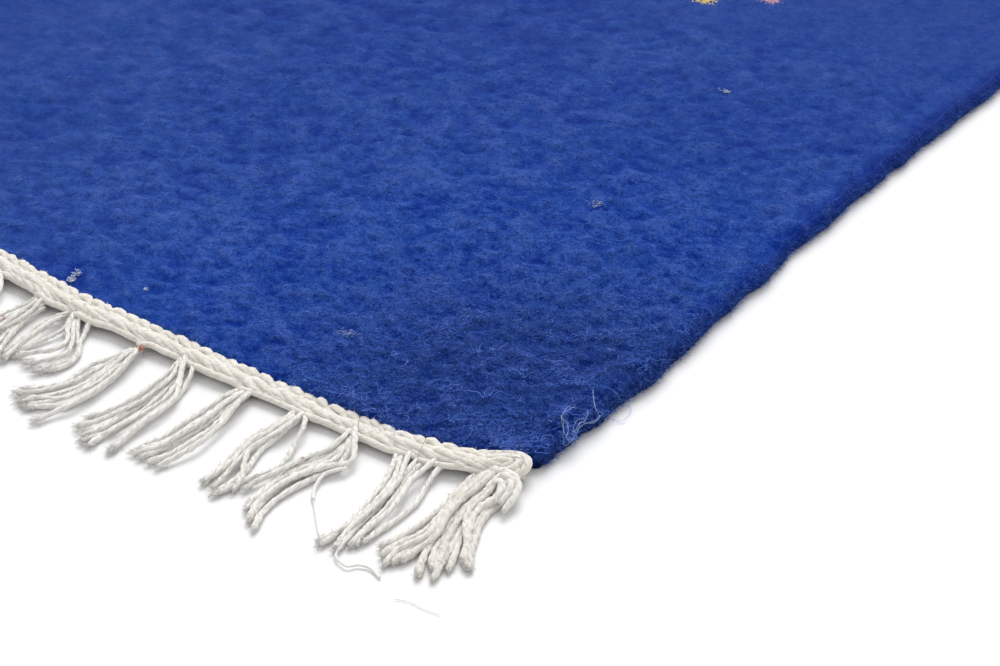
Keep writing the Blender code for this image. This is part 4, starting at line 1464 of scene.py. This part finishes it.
        ((-0.1, -0.1, 2.2), (3.5, 2.1, 2.8), (5.2, 5.8, 1.3), (7.5, 10.1, 0.9), (10.5, 14, 0.9),
         (11.2, 18.7, 0.8), (9.2, 23.2, 0.9)),
    ),
    (
        ((0.4, -1.7, 1.3), (0.1, 1.8, 2.2), (-0.8, 5.1, 1.8), (-2.2, 8.4, 1.2), (-3.3, 11.8, 0.9),
         (-4.7, 15.1, 0.9)),
        ((1.3, 0.2, 2), (2.2, 4, 2.9), (3.3, 7.9, 2.7), (3.4, 12, 2.3), (2.3, 15.8, 1.7), (0.3, 19.2, 0.9)),
        ((1.8, -0.4, 1.5), (2.8, 4.9, 2), (3.1, 10.4, 1.1), (3.2, 15.9, 0.9), (4.8, 21.3, 0.9),
         (6.5, 26.6, 0.9)),
        ((0.4, 0.1, 1.2), (0.6, 3.7, 2.1), (1, 7.5, 2.3), (0.4, 11.2, 2.2), (-0.9, 14.8, 1.8),
         (-3, 17.8, 0.9)),
        ((3.3, 3.9, 1.2), (3.5, 9.2, 1.7), (4.1, 14.4, 1.1), (5.8, 19.5, 0.9), (8, 24.3, 0.9),
         (10.5, 29, 0.9)),
        ((0.5, 1.6, 1.2), (0.8, 5.7, 1.8), (1.2, 9.8, 2.1), (1.2, 14, 2.1), (1.2, 18.1, 1.8),
         (0.8, 22.1, 0.9)),
    ),
)


# The strands looped into the knot at the root of the near end's corner tassel, in the rug's own frame
KNOT_STRANDS = (
    ((290.6, -447.8, 2.2), (292.1, -447.4, 3.2), (294.2, -447.3, 3.8), (296.4, -447.1, 4.1),
     (298.7, -447.6, 4), (300.7, -449.2, 3.4), (301.6, -451.6, 2.7), (301.8, -454.1, 2.1),
     (302.1, -456.8, 1.7)),
    ((295.2, -451.6, 2.6), (295.3, -449.4, 3.6), (296.5, -448.4, 4.1), (298.3, -448.9, 4.1),
     (299.8, -450.7, 3.6), (300.1, -452.9, 2.8), (300.1, -455.5, 2.2)),
    ((295.3, -454, 2.4), (295.3, -451.7, 3.3), (296.4, -450.6, 3.7), (298.1, -451.7, 3.7),
     (298.6, -453.5, 3.1), (298.5, -455.7, 2.4)),
)


class KILIM_OT_fringes(bpy.types.Operator):
    """Twist the warp ends into the tassels of each end"""

    bl_idname = "kilim.fringes"
    bl_label = "Warp tassels"

    OUT_AT_ROOT = 0.0044
    FURTHEST_ROOT = 0.2925
    BORROWED_FROM = 1
    BORROWED_STRAYS = 0.0005
    LEAST_SPREAD = 0.006
    SPREAD_PAST_TIPS = 0.0016
    MOST_WIDENED = 1.5
    NEIGHBOURS = 0.0050
    LAID_LOWER = 0.0006
    LEAST_STRAND_HEIGHT = 0.00085
    MARKED = 0.5
    PLY = 0.09
    ROUGH = 0.11
    # For most tassels, and for the fine ones
    RINGS = (18, 38)
    SIDES = (7, 10)
    FUZZ_EACH = (12, 170)
    FRAYS_EACH = (12, 100)

    # How thick a tassel's strands are by its number from the corner, and each along its length to its tip
    THINNER = ((0, 1, 3, 6), (1.02, 0.90, 0.82, 0.72))
    TIP = ((0, 0.82, 0.93, 0.975, 1.0), (1, 1, 1.12, 1.02, 0.55))
    UNEVEN = 0.09
    STRAND_THICK = (0.84, 1.10)

    # Fibres frayed from the strands' tips, longer in the tassels further from the corner
    FRAY_BACK = (-0.0003, 0.0030)
    FRAY_STRAYS = 0.00042
    FRAY_LENGTHS = (0.0004, 0.0012)
    FRAY_LONGER = ((0, 4, 6), (1.0, 1.4, 2.3))
    FRAY_ARCH = (-0.0006, 0.0008)
    FRAY_WIDTHS = (0.00009, 0.00018)
    LEAST_FRAY_HEIGHT = 0.0003

    KNOT_RINGS = 26
    KNOT_SIDES = 10
    KNOT_ROUGH = 0.08
    KNOT_FUZZ = 60
    KNOT_RADII = ((0, 0.15, 0.85, 1), (0.6, 0.95, 0.95, 0.6))

    def execute(self, context):
        cotton = context.scene.kilim_cotton
        material = cotton_material("twisted_warp_cotton", cotton.warp, cotton, self.MARKED)
        patterns = [np.array(strands) * MM for strands in TASSEL_STRANDS]
        for end, turn in ENDS:
            yarns = Yarns()
            chance = np.random.default_rng(SEEDS[end] + 100)
            for number, (x, tassel) in enumerate(tassel_rows(end)[::-1]):
                tabled = number < len(patterns)
                strands = patterns[number] if tabled else self.borrowed(chance, patterns, tassel)
                if number == 0:
                    strands = self.filled(strands)
                fine = tabled and not turn
                paths = self.placed(through(strands, self.RINGS[fine]), x)
                self.twist(yarns, chance, cotton, turned(paths) if turn else paths, number, fine)
            if not turn:
                self.knot(yarns, chance, cotton)
            name = f"tassels_{end}"
            piece(name, yarns.mesh(name), material, [f"fringe_{end}"])
        return {"FINISHED"}

    def knot(self, yarns, chance, cotton):
        """The strands looped at the root of the fine corner's tassel."""
        share = np.linspace(0, 1, self.KNOT_RINGS)
        radii = np.interp(share, *self.KNOT_RADII)[None] * MM
        for strand in KNOT_STRANDS:
            path = through(np.array(strand)[None] * MM, self.KNOT_RINGS)
            tone = chance.random(1)
            shape = (self.PLY, cotton.twist, 1.0, self.KNOT_ROUGH)
            yarns.tubes(path, radii, self.KNOT_SIDES, tone, *shape, chance)
            yarns.fuzz(chance, path, radii, tone, self.KNOT_FUZZ)

    def filled(self, strands):
        """The strands with others laid between neighbours, under them."""
        order = np.argsort(strands[:, -3:, 0].mean(axis=1))
        in_order = strands[order]
        between = 0.5 * (in_order[:-1] + in_order[1:])
        apart = np.abs(in_order[1:, -1, 0] - in_order[:-1, -1, 0])
        between = between[apart < self.NEIGHBOURS]
        between[:, 2:, 2] = np.maximum(between[:, 2:, 2] - self.LAID_LOWER, self.LEAST_STRAND_HEIGHT)
        return np.concatenate([strands, between])

    def placed(self, strands, x):
        """Strands of one tassel moved from its own root to its place along the end."""
        x = min(max(x, -self.FURTHEST_ROOT), self.FURTHEST_ROOT)
        root_x, root_y = outwards(x, self.OUT_AT_ROOT)
        along_x, out, height = np.moveaxis(strands, -1, 0)
        return np.stack([root_x + along_x, root_y - out, height], axis=-1)

    def borrowed(self, chance, patterns, tassel):
        """Another tassel's strands, brought to this one's lean, reach and spread and shaken a little."""
        picked = patterns[int(chance.integers(self.BORROWED_FROM, len(patterns)))].copy()
        tips = picked[:, -1]
        lean = tips[:, 0].mean()
        reach = tips[:, 1].max()
        spread = max(np.ptp(tips[:, 0]), self.LEAST_SPREAD)
        share = np.clip(picked[..., 1] / reach, 0, 1.2)
        middle = lean * share
        widened = min(tassel.spread / (spread + self.SPREAD_PAST_TIPS), self.MOST_WIDENED)
        picked[..., 0] = (picked[..., 0] - middle) * (1 + (widened - 1) * share) + tassel.lean * share
        picked[..., 1] *= tassel.reach / reach
        shaken = chance.normal(0, self.BORROWED_STRAYS, (*picked.shape[:2], 2))
        shaken[:, 0] = 0
        picked[..., :2] += np.cumsum(shaken, axis=1)
        return picked

    def twist(self, yarns, chance, cotton, paths, number, fine):
        """Strands along these paths, with blunt frayed tips and hairs that stand off them."""
        count, rings = paths.shape[:2]
        thick = cotton.strand / 2 * np.interp(number, *self.THINNER)
        share = np.linspace(0, 1, rings)
        waves_along = share * chance.uniform(9, 22, (count, 1)) + chance.uniform(0, 6, (count, 1))
        tip = np.interp(share, *self.TIP)
        radii = thick * (1 + self.UNEVEN * np.sin(waves_along)) * tip
        radii = radii * chance.uniform(*self.STRAND_THICK, (count, 1))
        # Painted shade: the corner tassel's strands take more of the warm shade colour, so they are darker
        # than the other tassels'
        tones = chance.random(count) * (0.4 if number else 1.0) + (0.0 if number else 0.8)
        yarns.tubes(paths, radii, self.SIDES[fine], tones, self.PLY, cotton.twist, 1.0, self.ROUGH, chance)
        yarns.fuzz(chance, paths, radii, tones, self.FUZZ_EACH[fine])

        # Frayed bundles of fibres leave the last of each strand close to its own course
        ahead = unit(paths[:, -1] - paths[:, -4])
        picks = np.repeat(np.arange(count), self.FRAYS_EACH[fine])
        back = chance.uniform(*self.FRAY_BACK, (len(picks), 1))
        roots = paths[picks, -1] - ahead[picks] * back + chance.normal(0, self.FRAY_STRAYS, (len(picks), 3))
        roots[:, 2] = np.maximum(roots[:, 2], self.LEAST_FRAY_HEIGHT)
        heading = np.arctan2(ahead[picks, 1], ahead[picks, 0]) + chance.normal(0, 0.5, len(picks))
        length = chance.uniform(*self.FRAY_LENGTHS, len(picks)) * np.interp(number, *self.FRAY_LONGER)
        hairs = wandering_hairs(chance, roots, heading, length, self.FRAY_ARCH, 2, 0.6, 1.0)
        yarns.hairs(lifted(hairs), chance.uniform(*self.FRAY_WIDTHS, len(picks)), 0.5 * tones[picks])


class KILIM_OT_details(bpy.types.Operator):
    """Add the lint, the wisps and the stray hairs near the fine corner"""

    bl_idname = "kilim.details"
    bl_label = "Lint and stray fibres"

    SEED = 77

    # A kind of short curly fibre: its lengths, how far it arches, how curly it is, its widths and its tones
    Curly = namedtuple("Curly", "lengths arch curl widths tones")
    CURLY_RINGS = 4
    LINT_FIBRE = Curly((0.6, 1.3), (-0.0001, 0.0003), 0.9, (0.7, 1.2), (0, 1))
    RED_FIBRE = Curly((0.0008, 0.0020), (0, 0.0006), 0.6, (0.00020, 0.00034), (0, 1))
    WISP_FIBRE = Curly((0.0006, 0.0020), (-0.0002, 0.0006), 0.8, (0.00006, 0.00010), (0.6, 1))
    HAZE_FIBRE = Curly((0.0010, 0.0026), (0, 0.0006), 0.7, (0.00008, 0.00014), (0.75, 1))

    # Each tuft of lint: its middle, how far it spreads, how long and wide its fibres are against their kind's
    # range, all in millimetres, and how many it has
    Lint = namedtuple("Lint", "middle spread length width count")
    LINT = (
        Lint((159.9, -448.4, 4.6), (0.35, 0.5, 0.3), 1.1, 0.34, 60),
        Lint((159.2, -445.8, 4.9), (0.22, 0.7, 0.3), 0.9, 0.28, 44),
        Lint((178, -440.2, 4.5), (0.2, 0.2, 0.1), 0.6, 0.3, 30),
        Lint((245.5, -338.1, 4.5), (1.1, 1.1, 0.1), 1.2, 0.11, 40),
        Lint((230.9, -425.7, 4.6), (1.3, 0.9, 0.1), 1.2, 0.11, 40),
        Lint((239.8, -265.5, 4.7), (0.8, 0.6, 0.2), 0.9, 0.2, 34),
    )
    LINT_SUNK = 0.0002

    # The courses of the wisps, in millimetres. The first two are the bright ones
    WISPS = (
        ((293.7, -419.7, 5.6), (294.4, -423.2, 6.4), (295.9, -425.5, 6.1), (297.4, -426.9, 5),
         (299.4, -428.6, 4.9), (300.1, -428.4, 3.6), (300.1, -426.8, 2.9), (299.9, -425, 2.4),
         (299.9, -424.9, 3.8), (299.5, -423.1, 4.3), (299.4, -421, 3.9), (300.1, -419.1, 3.8),
         (300.6, -417.4, 3.6), (300.7, -416.8, 4.3), (299.4, -416.4, 5.2), (297, -413.9, 6.2),
         (294.8, -411, 6)),
        ((295.3, -419.2, 6.2), (295.2, -421.5, 6.6), (295.4, -424.2, 7.2), (295.9, -425.3, 6.3),
         (297.6, -425.7, 5.9), (299, -427.2, 5.1), (299.5, -428.7, 5), (300, -428.6, 4.3),
         (300.3, -426.8, 3.6), (299.7, -426.4, 4.9), (299.7, -425, 4.6), (299.2, -423.2, 5.1),
         (299.3, -420.8, 4.6), (299, -419.4, 5.4), (298.4, -418.3, 5.9)),
        ((298.6, -398.1, 6.1), (299, -395.2, 6.1), (298.3, -392.4, 6), (299.6, -391.9, 5.7),
         (300.1, -389.5, 5), (300.3, -385.6, 2.8)),
        ((300.1, -389.5, 4.9), (300.5, -390.4, 3.2), (301.2, -391.8, 2.4)),
        ((295.3, -408.1, 5.7), (297.4, -407.7, 5.7), (299.1, -407.7, 5.3), (300.6, -408.2, 4.5)),
        ((301.1, -412.1, 0.7), (303.1, -410.9, 0.7), (303.3, -408.2, 0.7), (301.9, -405.7, 0.7),
         (301.5, -407.3, 2.9)),
        ((282.5, -384.9, 4.9), (285, -386.5, 5.9), (287, -387.1, 5.7), (288.9, -387.1, 5.7)),
        ((266.1, -413.3, 5.2), (266.7, -417.5, 5.9), (267.8, -418.2, 6)),
    )
    BRIGHT_WISPS = 2
    # The fibres along a wisp's course: how thick, and how far from it they stray, in millimetres
    STRANDS = ((0.040, 0.0), (0.030, 0.45))
    FAINT_STRANDS = ((0.026, 0.0), (0.022, 0.20))
    STRAND_TONES = (0.7, 1.0)
    CRINKLE = 0.04
    SHORT_EACH = 10
    SHORT_STRAY = 0.0004

    # Fine fibres in a haze by the corner: its middle and how far it spreads in millimetres, and how many
    HAZE = ((289.6, -439.2, 5.2), (2.4, 1.5, 0.2), 230)
    HAZE_HEADING = (0.9, 1.0)

    # The courses of the dark hairs, and of the loose threads with their radii, in millimetres
    DARK_HAIRS = (
        ((273.6, -447.6, 5), (274.9, -451, 4.9), (276, -454.4, 3.9), (277, -456.6, 2)),
        ((274.8, -446, 4.9), (276, -446.3, 5.1), (277.4, -447.4, 4.9)),
        ((293.7, -443.9, 5.1), (295.4, -443.1, 5.8), (297, -442.5, 5.7), (297.9, -442.7, 5.1),
         (298.8, -443.6, 4.6), (298.6, -444.5, 3.4)),
        ((294.5, -444.6, 5), (295.6, -443.8, 5.4), (297.1, -443.8, 5.2), (298.1, -444.7, 4.4),
         (298.3, -445.8, 3.5)),
        ((254.6, -449, 3.5), (256, -451.1, 3.8), (257.1, -452.7, 3.3)),
    )
    DARK_HAIR_RADIUS = 0.045
    THREADS = (
        (0.46, ((263.8, -465.1, 1.8), (262.3, -467.2, 1.8), (260.9, -469.5, 1.5), (261.2, -472.4, 1.1),
                (262.2, -475, 0.8), (264.2, -477.7, 0.6))),
        (0.20, ((263.7, -477.2, 0.6), (266.7, -480.1, 0.4), (269.3, -482.7, 0.4), (271.9, -485.2, 0.4),
                (274.9, -487.7, 0.6))),
        (0.32, ((279.5, -482.6, 0.9), (280.3, -486.9, 1.2), (281.3, -490.3, 0.8), (285.2, -491.5, 0.7),
                (287, -489.6, 0.6), (289.7, -488.8, 0.5), (293.5, -490, 0.4))),
        (0.10, ((300.2, -493.5, 0.2), (303.5, -492.3, 0.2), (307.7, -492.4, 0.2), (311.5, -491.7, 0.2))),
    )
    THREAD_ROUGH = 0.08
    RINGS_A_POINT = 7

    # The red fibres: where in millimetres, and how many
    RED = (
        ((192.9, -458.2, 2.6), 26),
        ((254, -468, 2.2), 5),
        ((156.3, -468.8, 2), 5),
    )
    RED_STRAY = 0.00045
    RED_HEADING = (-0.9, 0.6)

    def execute(self, context):
        wool = context.scene.kilim_wool
        chance = np.random.default_rng(self.SEED)
        self.lint(chance)
        self.wisps(chance, wool)
        dark = fleck_material("dark_hair", (0.05, 0.043, 0.038), (0.12, 0.10, 0.09))
        dark_hairs = [(self.DARK_HAIR_RADIUS, course) for course in self.DARK_HAIRS]
        self.threads("dark_hairs", chance, dark_hairs, dark, "web_cotton")
        white = fleck_material("loose_cotton_thread", (0.70, 0.68, 0.64), (0.82, 0.80, 0.77))
        self.threads("loose_threads", chance, self.THREADS, white, "warp_cotton")
        self.red_fibres(chance)
        return {"FINISHED"}

    def threads(self, name, chance, threads, material, slot):
        """Thin round threads through points in millimetres, each with its own radius."""
        yarns = Yarns()
        for thick, course in threads:
            path = through(np.array(course)[None] * MM, self.RINGS_A_POINT * len(course))
            radii = np.full(path.shape[:2], thick * MM)
            yarns.tubes(path, radii, 6, chance.random(1), rough=self.THREAD_ROUGH, chance=chance)
        piece(name, yarns.mesh(name), material)

    def curly(self, yarns, chance, kind, roots, heading, length=1.0, width=1.0):
        """Short curly fibres of this kind, their sizes multiplied by these."""
        count = len(roots)
        long = length * chance.uniform(*kind.lengths, count)
        paths = wandering_hairs(chance, roots, heading, long, kind.arch, self.CURLY_RINGS, kind.curl)
        yarns.hairs(paths, width * chance.uniform(*kind.widths, count), chance.uniform(*kind.tones, count))

    def wisps(self, chance, wool):
        """Pale wisps of wool by the side edge: two fibres along each course, and short ones that leave it."""
        wisps = Yarns()
        haze = Yarns()
        for n, course in enumerate(self.WISPS):
            rings = self.RINGS_A_POINT * len(course)
            bright = n < self.BRIGHT_WISPS
            home = wisps if bright else haze
            for thick, apart in self.STRANDS if bright else self.FAINT_STRANDS:
                stops = np.array(course)[None] + chance.normal(0, 1, (1, len(course), 3)) * apart
                path = through(stops * MM, rings) + chance.normal(0, self.CRINKLE * MM, (1, rings, 3))
                radii = np.full(path.shape[:2], thick * MM)
                tone = chance.uniform(*self.STRAND_TONES, 1)
                home.tubes(path, radii, 5, tone, rough=self.THREAD_ROUGH, chance=chance)
            number = (self.SHORT_EACH if bright else 1) * len(course)
            strays = path[0, chance.integers(0, rings, number)]
            strays = strays + chance.normal(0, self.SHORT_STRAY, (number, 3))
            self.curly(haze, chance, self.WISP_FIBRE, strays, chance.uniform(0, math.tau, number))
        middle, spread, number = self.HAZE
        roots = (np.array(middle) + chance.normal(0, 1, (number, 3)) * spread) * MM
        self.curly(haze, chance, self.HAZE_FIBRE, roots, chance.normal(*self.HAZE_HEADING, number))
        pale = fleck_material("pale_wool_wisps", (0.26, 0.40, 0.74), (0.58, 0.72, 0.95))
        piece("wool_wisps", wisps.mesh("wool_wisps"), pale)
        piece("wool_haze", haze.mesh("wool_haze"), nap_material(wool))

    def lint(self, chance):
        """Small tufts of white lint caught in the wool."""
        yarns = Yarns()
        for tuft in self.LINT:
            roots = (np.array(tuft.middle) + chance.normal(0, 1, (tuft.count, 3)) * tuft.spread) * MM
            roots[:, 2] = np.maximum(roots[:, 2], FIELD_THICK - self.LINT_SUNK)
            heading = chance.uniform(0, math.tau, tuft.count)
            sizes = (tuft.length * MM, tuft.width * MM)
            self.curly(yarns, chance, self.LINT_FIBRE, roots, heading, *sizes)
        pale = fleck_material("white_lint", (0.36, 0.44, 0.64), (0.62, 0.67, 0.80))
        piece("white_lint", yarns.mesh("white_lint"), pale)

    def red_fibres(self, chance):
        """A few red fibres spun into the cotton."""
        yarns = Yarns()
        for place, count in self.RED:
            roots = np.array(place) * MM + chance.normal(0, self.RED_STRAY, (count, 3))
            self.curly(yarns, chance, self.RED_FIBRE, roots, chance.normal(*self.RED_HEADING, count))
        red = fleck_material("red_fibre", (0.45, 0.12, 0.08), (0.62, 0.24, 0.17))
        piece("red_fibres", yarns.mesh("red_fibres"), red)


class KILIM_PT_panel(bpy.types.Panel):
    """The kilim's pieces and finishes"""

    bl_idname = "KILIM_PT_panel"
    bl_label = "Blue Kilim"
    bl_space_type = "VIEW_3D"
    bl_region_type = "UI"
    bl_category = "Kilim"

    def draw(self, context):
        for operator in OPERATORS:
            self.layout.operator(operator.bl_idname)
        for name, group in GROUPS.items():
            box = self.layout.box()
            box.label(text=group.__doc__)
            for setting in group.__annotations__:
                box.prop(getattr(context.scene, name), setting)


OPERATORS = (KILIM_OT_stage, KILIM_OT_field, KILIM_OT_nap, KILIM_OT_webs, KILIM_OT_fringes, KILIM_OT_details)
GROUPS = {"kilim_wool": KilimWool, "kilim_cotton": KilimCotton, "kilim_stage": KilimStage}


def register():
    for group in (*GROUPS.values(), *OPERATORS, KILIM_PT_panel):
        bpy.utils.register_class(group)
    for name, group in GROUPS.items():
        setattr(bpy.types.Scene, name, bpy.props.PointerProperty(type=group))


def unregister():
    for name in GROUPS:
        delattr(bpy.types.Scene, name)
    for group in (KILIM_PT_panel, *reversed(OPERATORS), *GROUPS.values()):
        bpy.utils.unregister_class(group)


def main():
    register()
    bpy.ops.kilim.stage()
    bpy.ops.kilim.field()
    bpy.ops.kilim.nap()
    bpy.ops.kilim.webs()
    bpy.ops.kilim.fringes()
    bpy.ops.kilim.details()


if __name__ == "__main__":
    main()
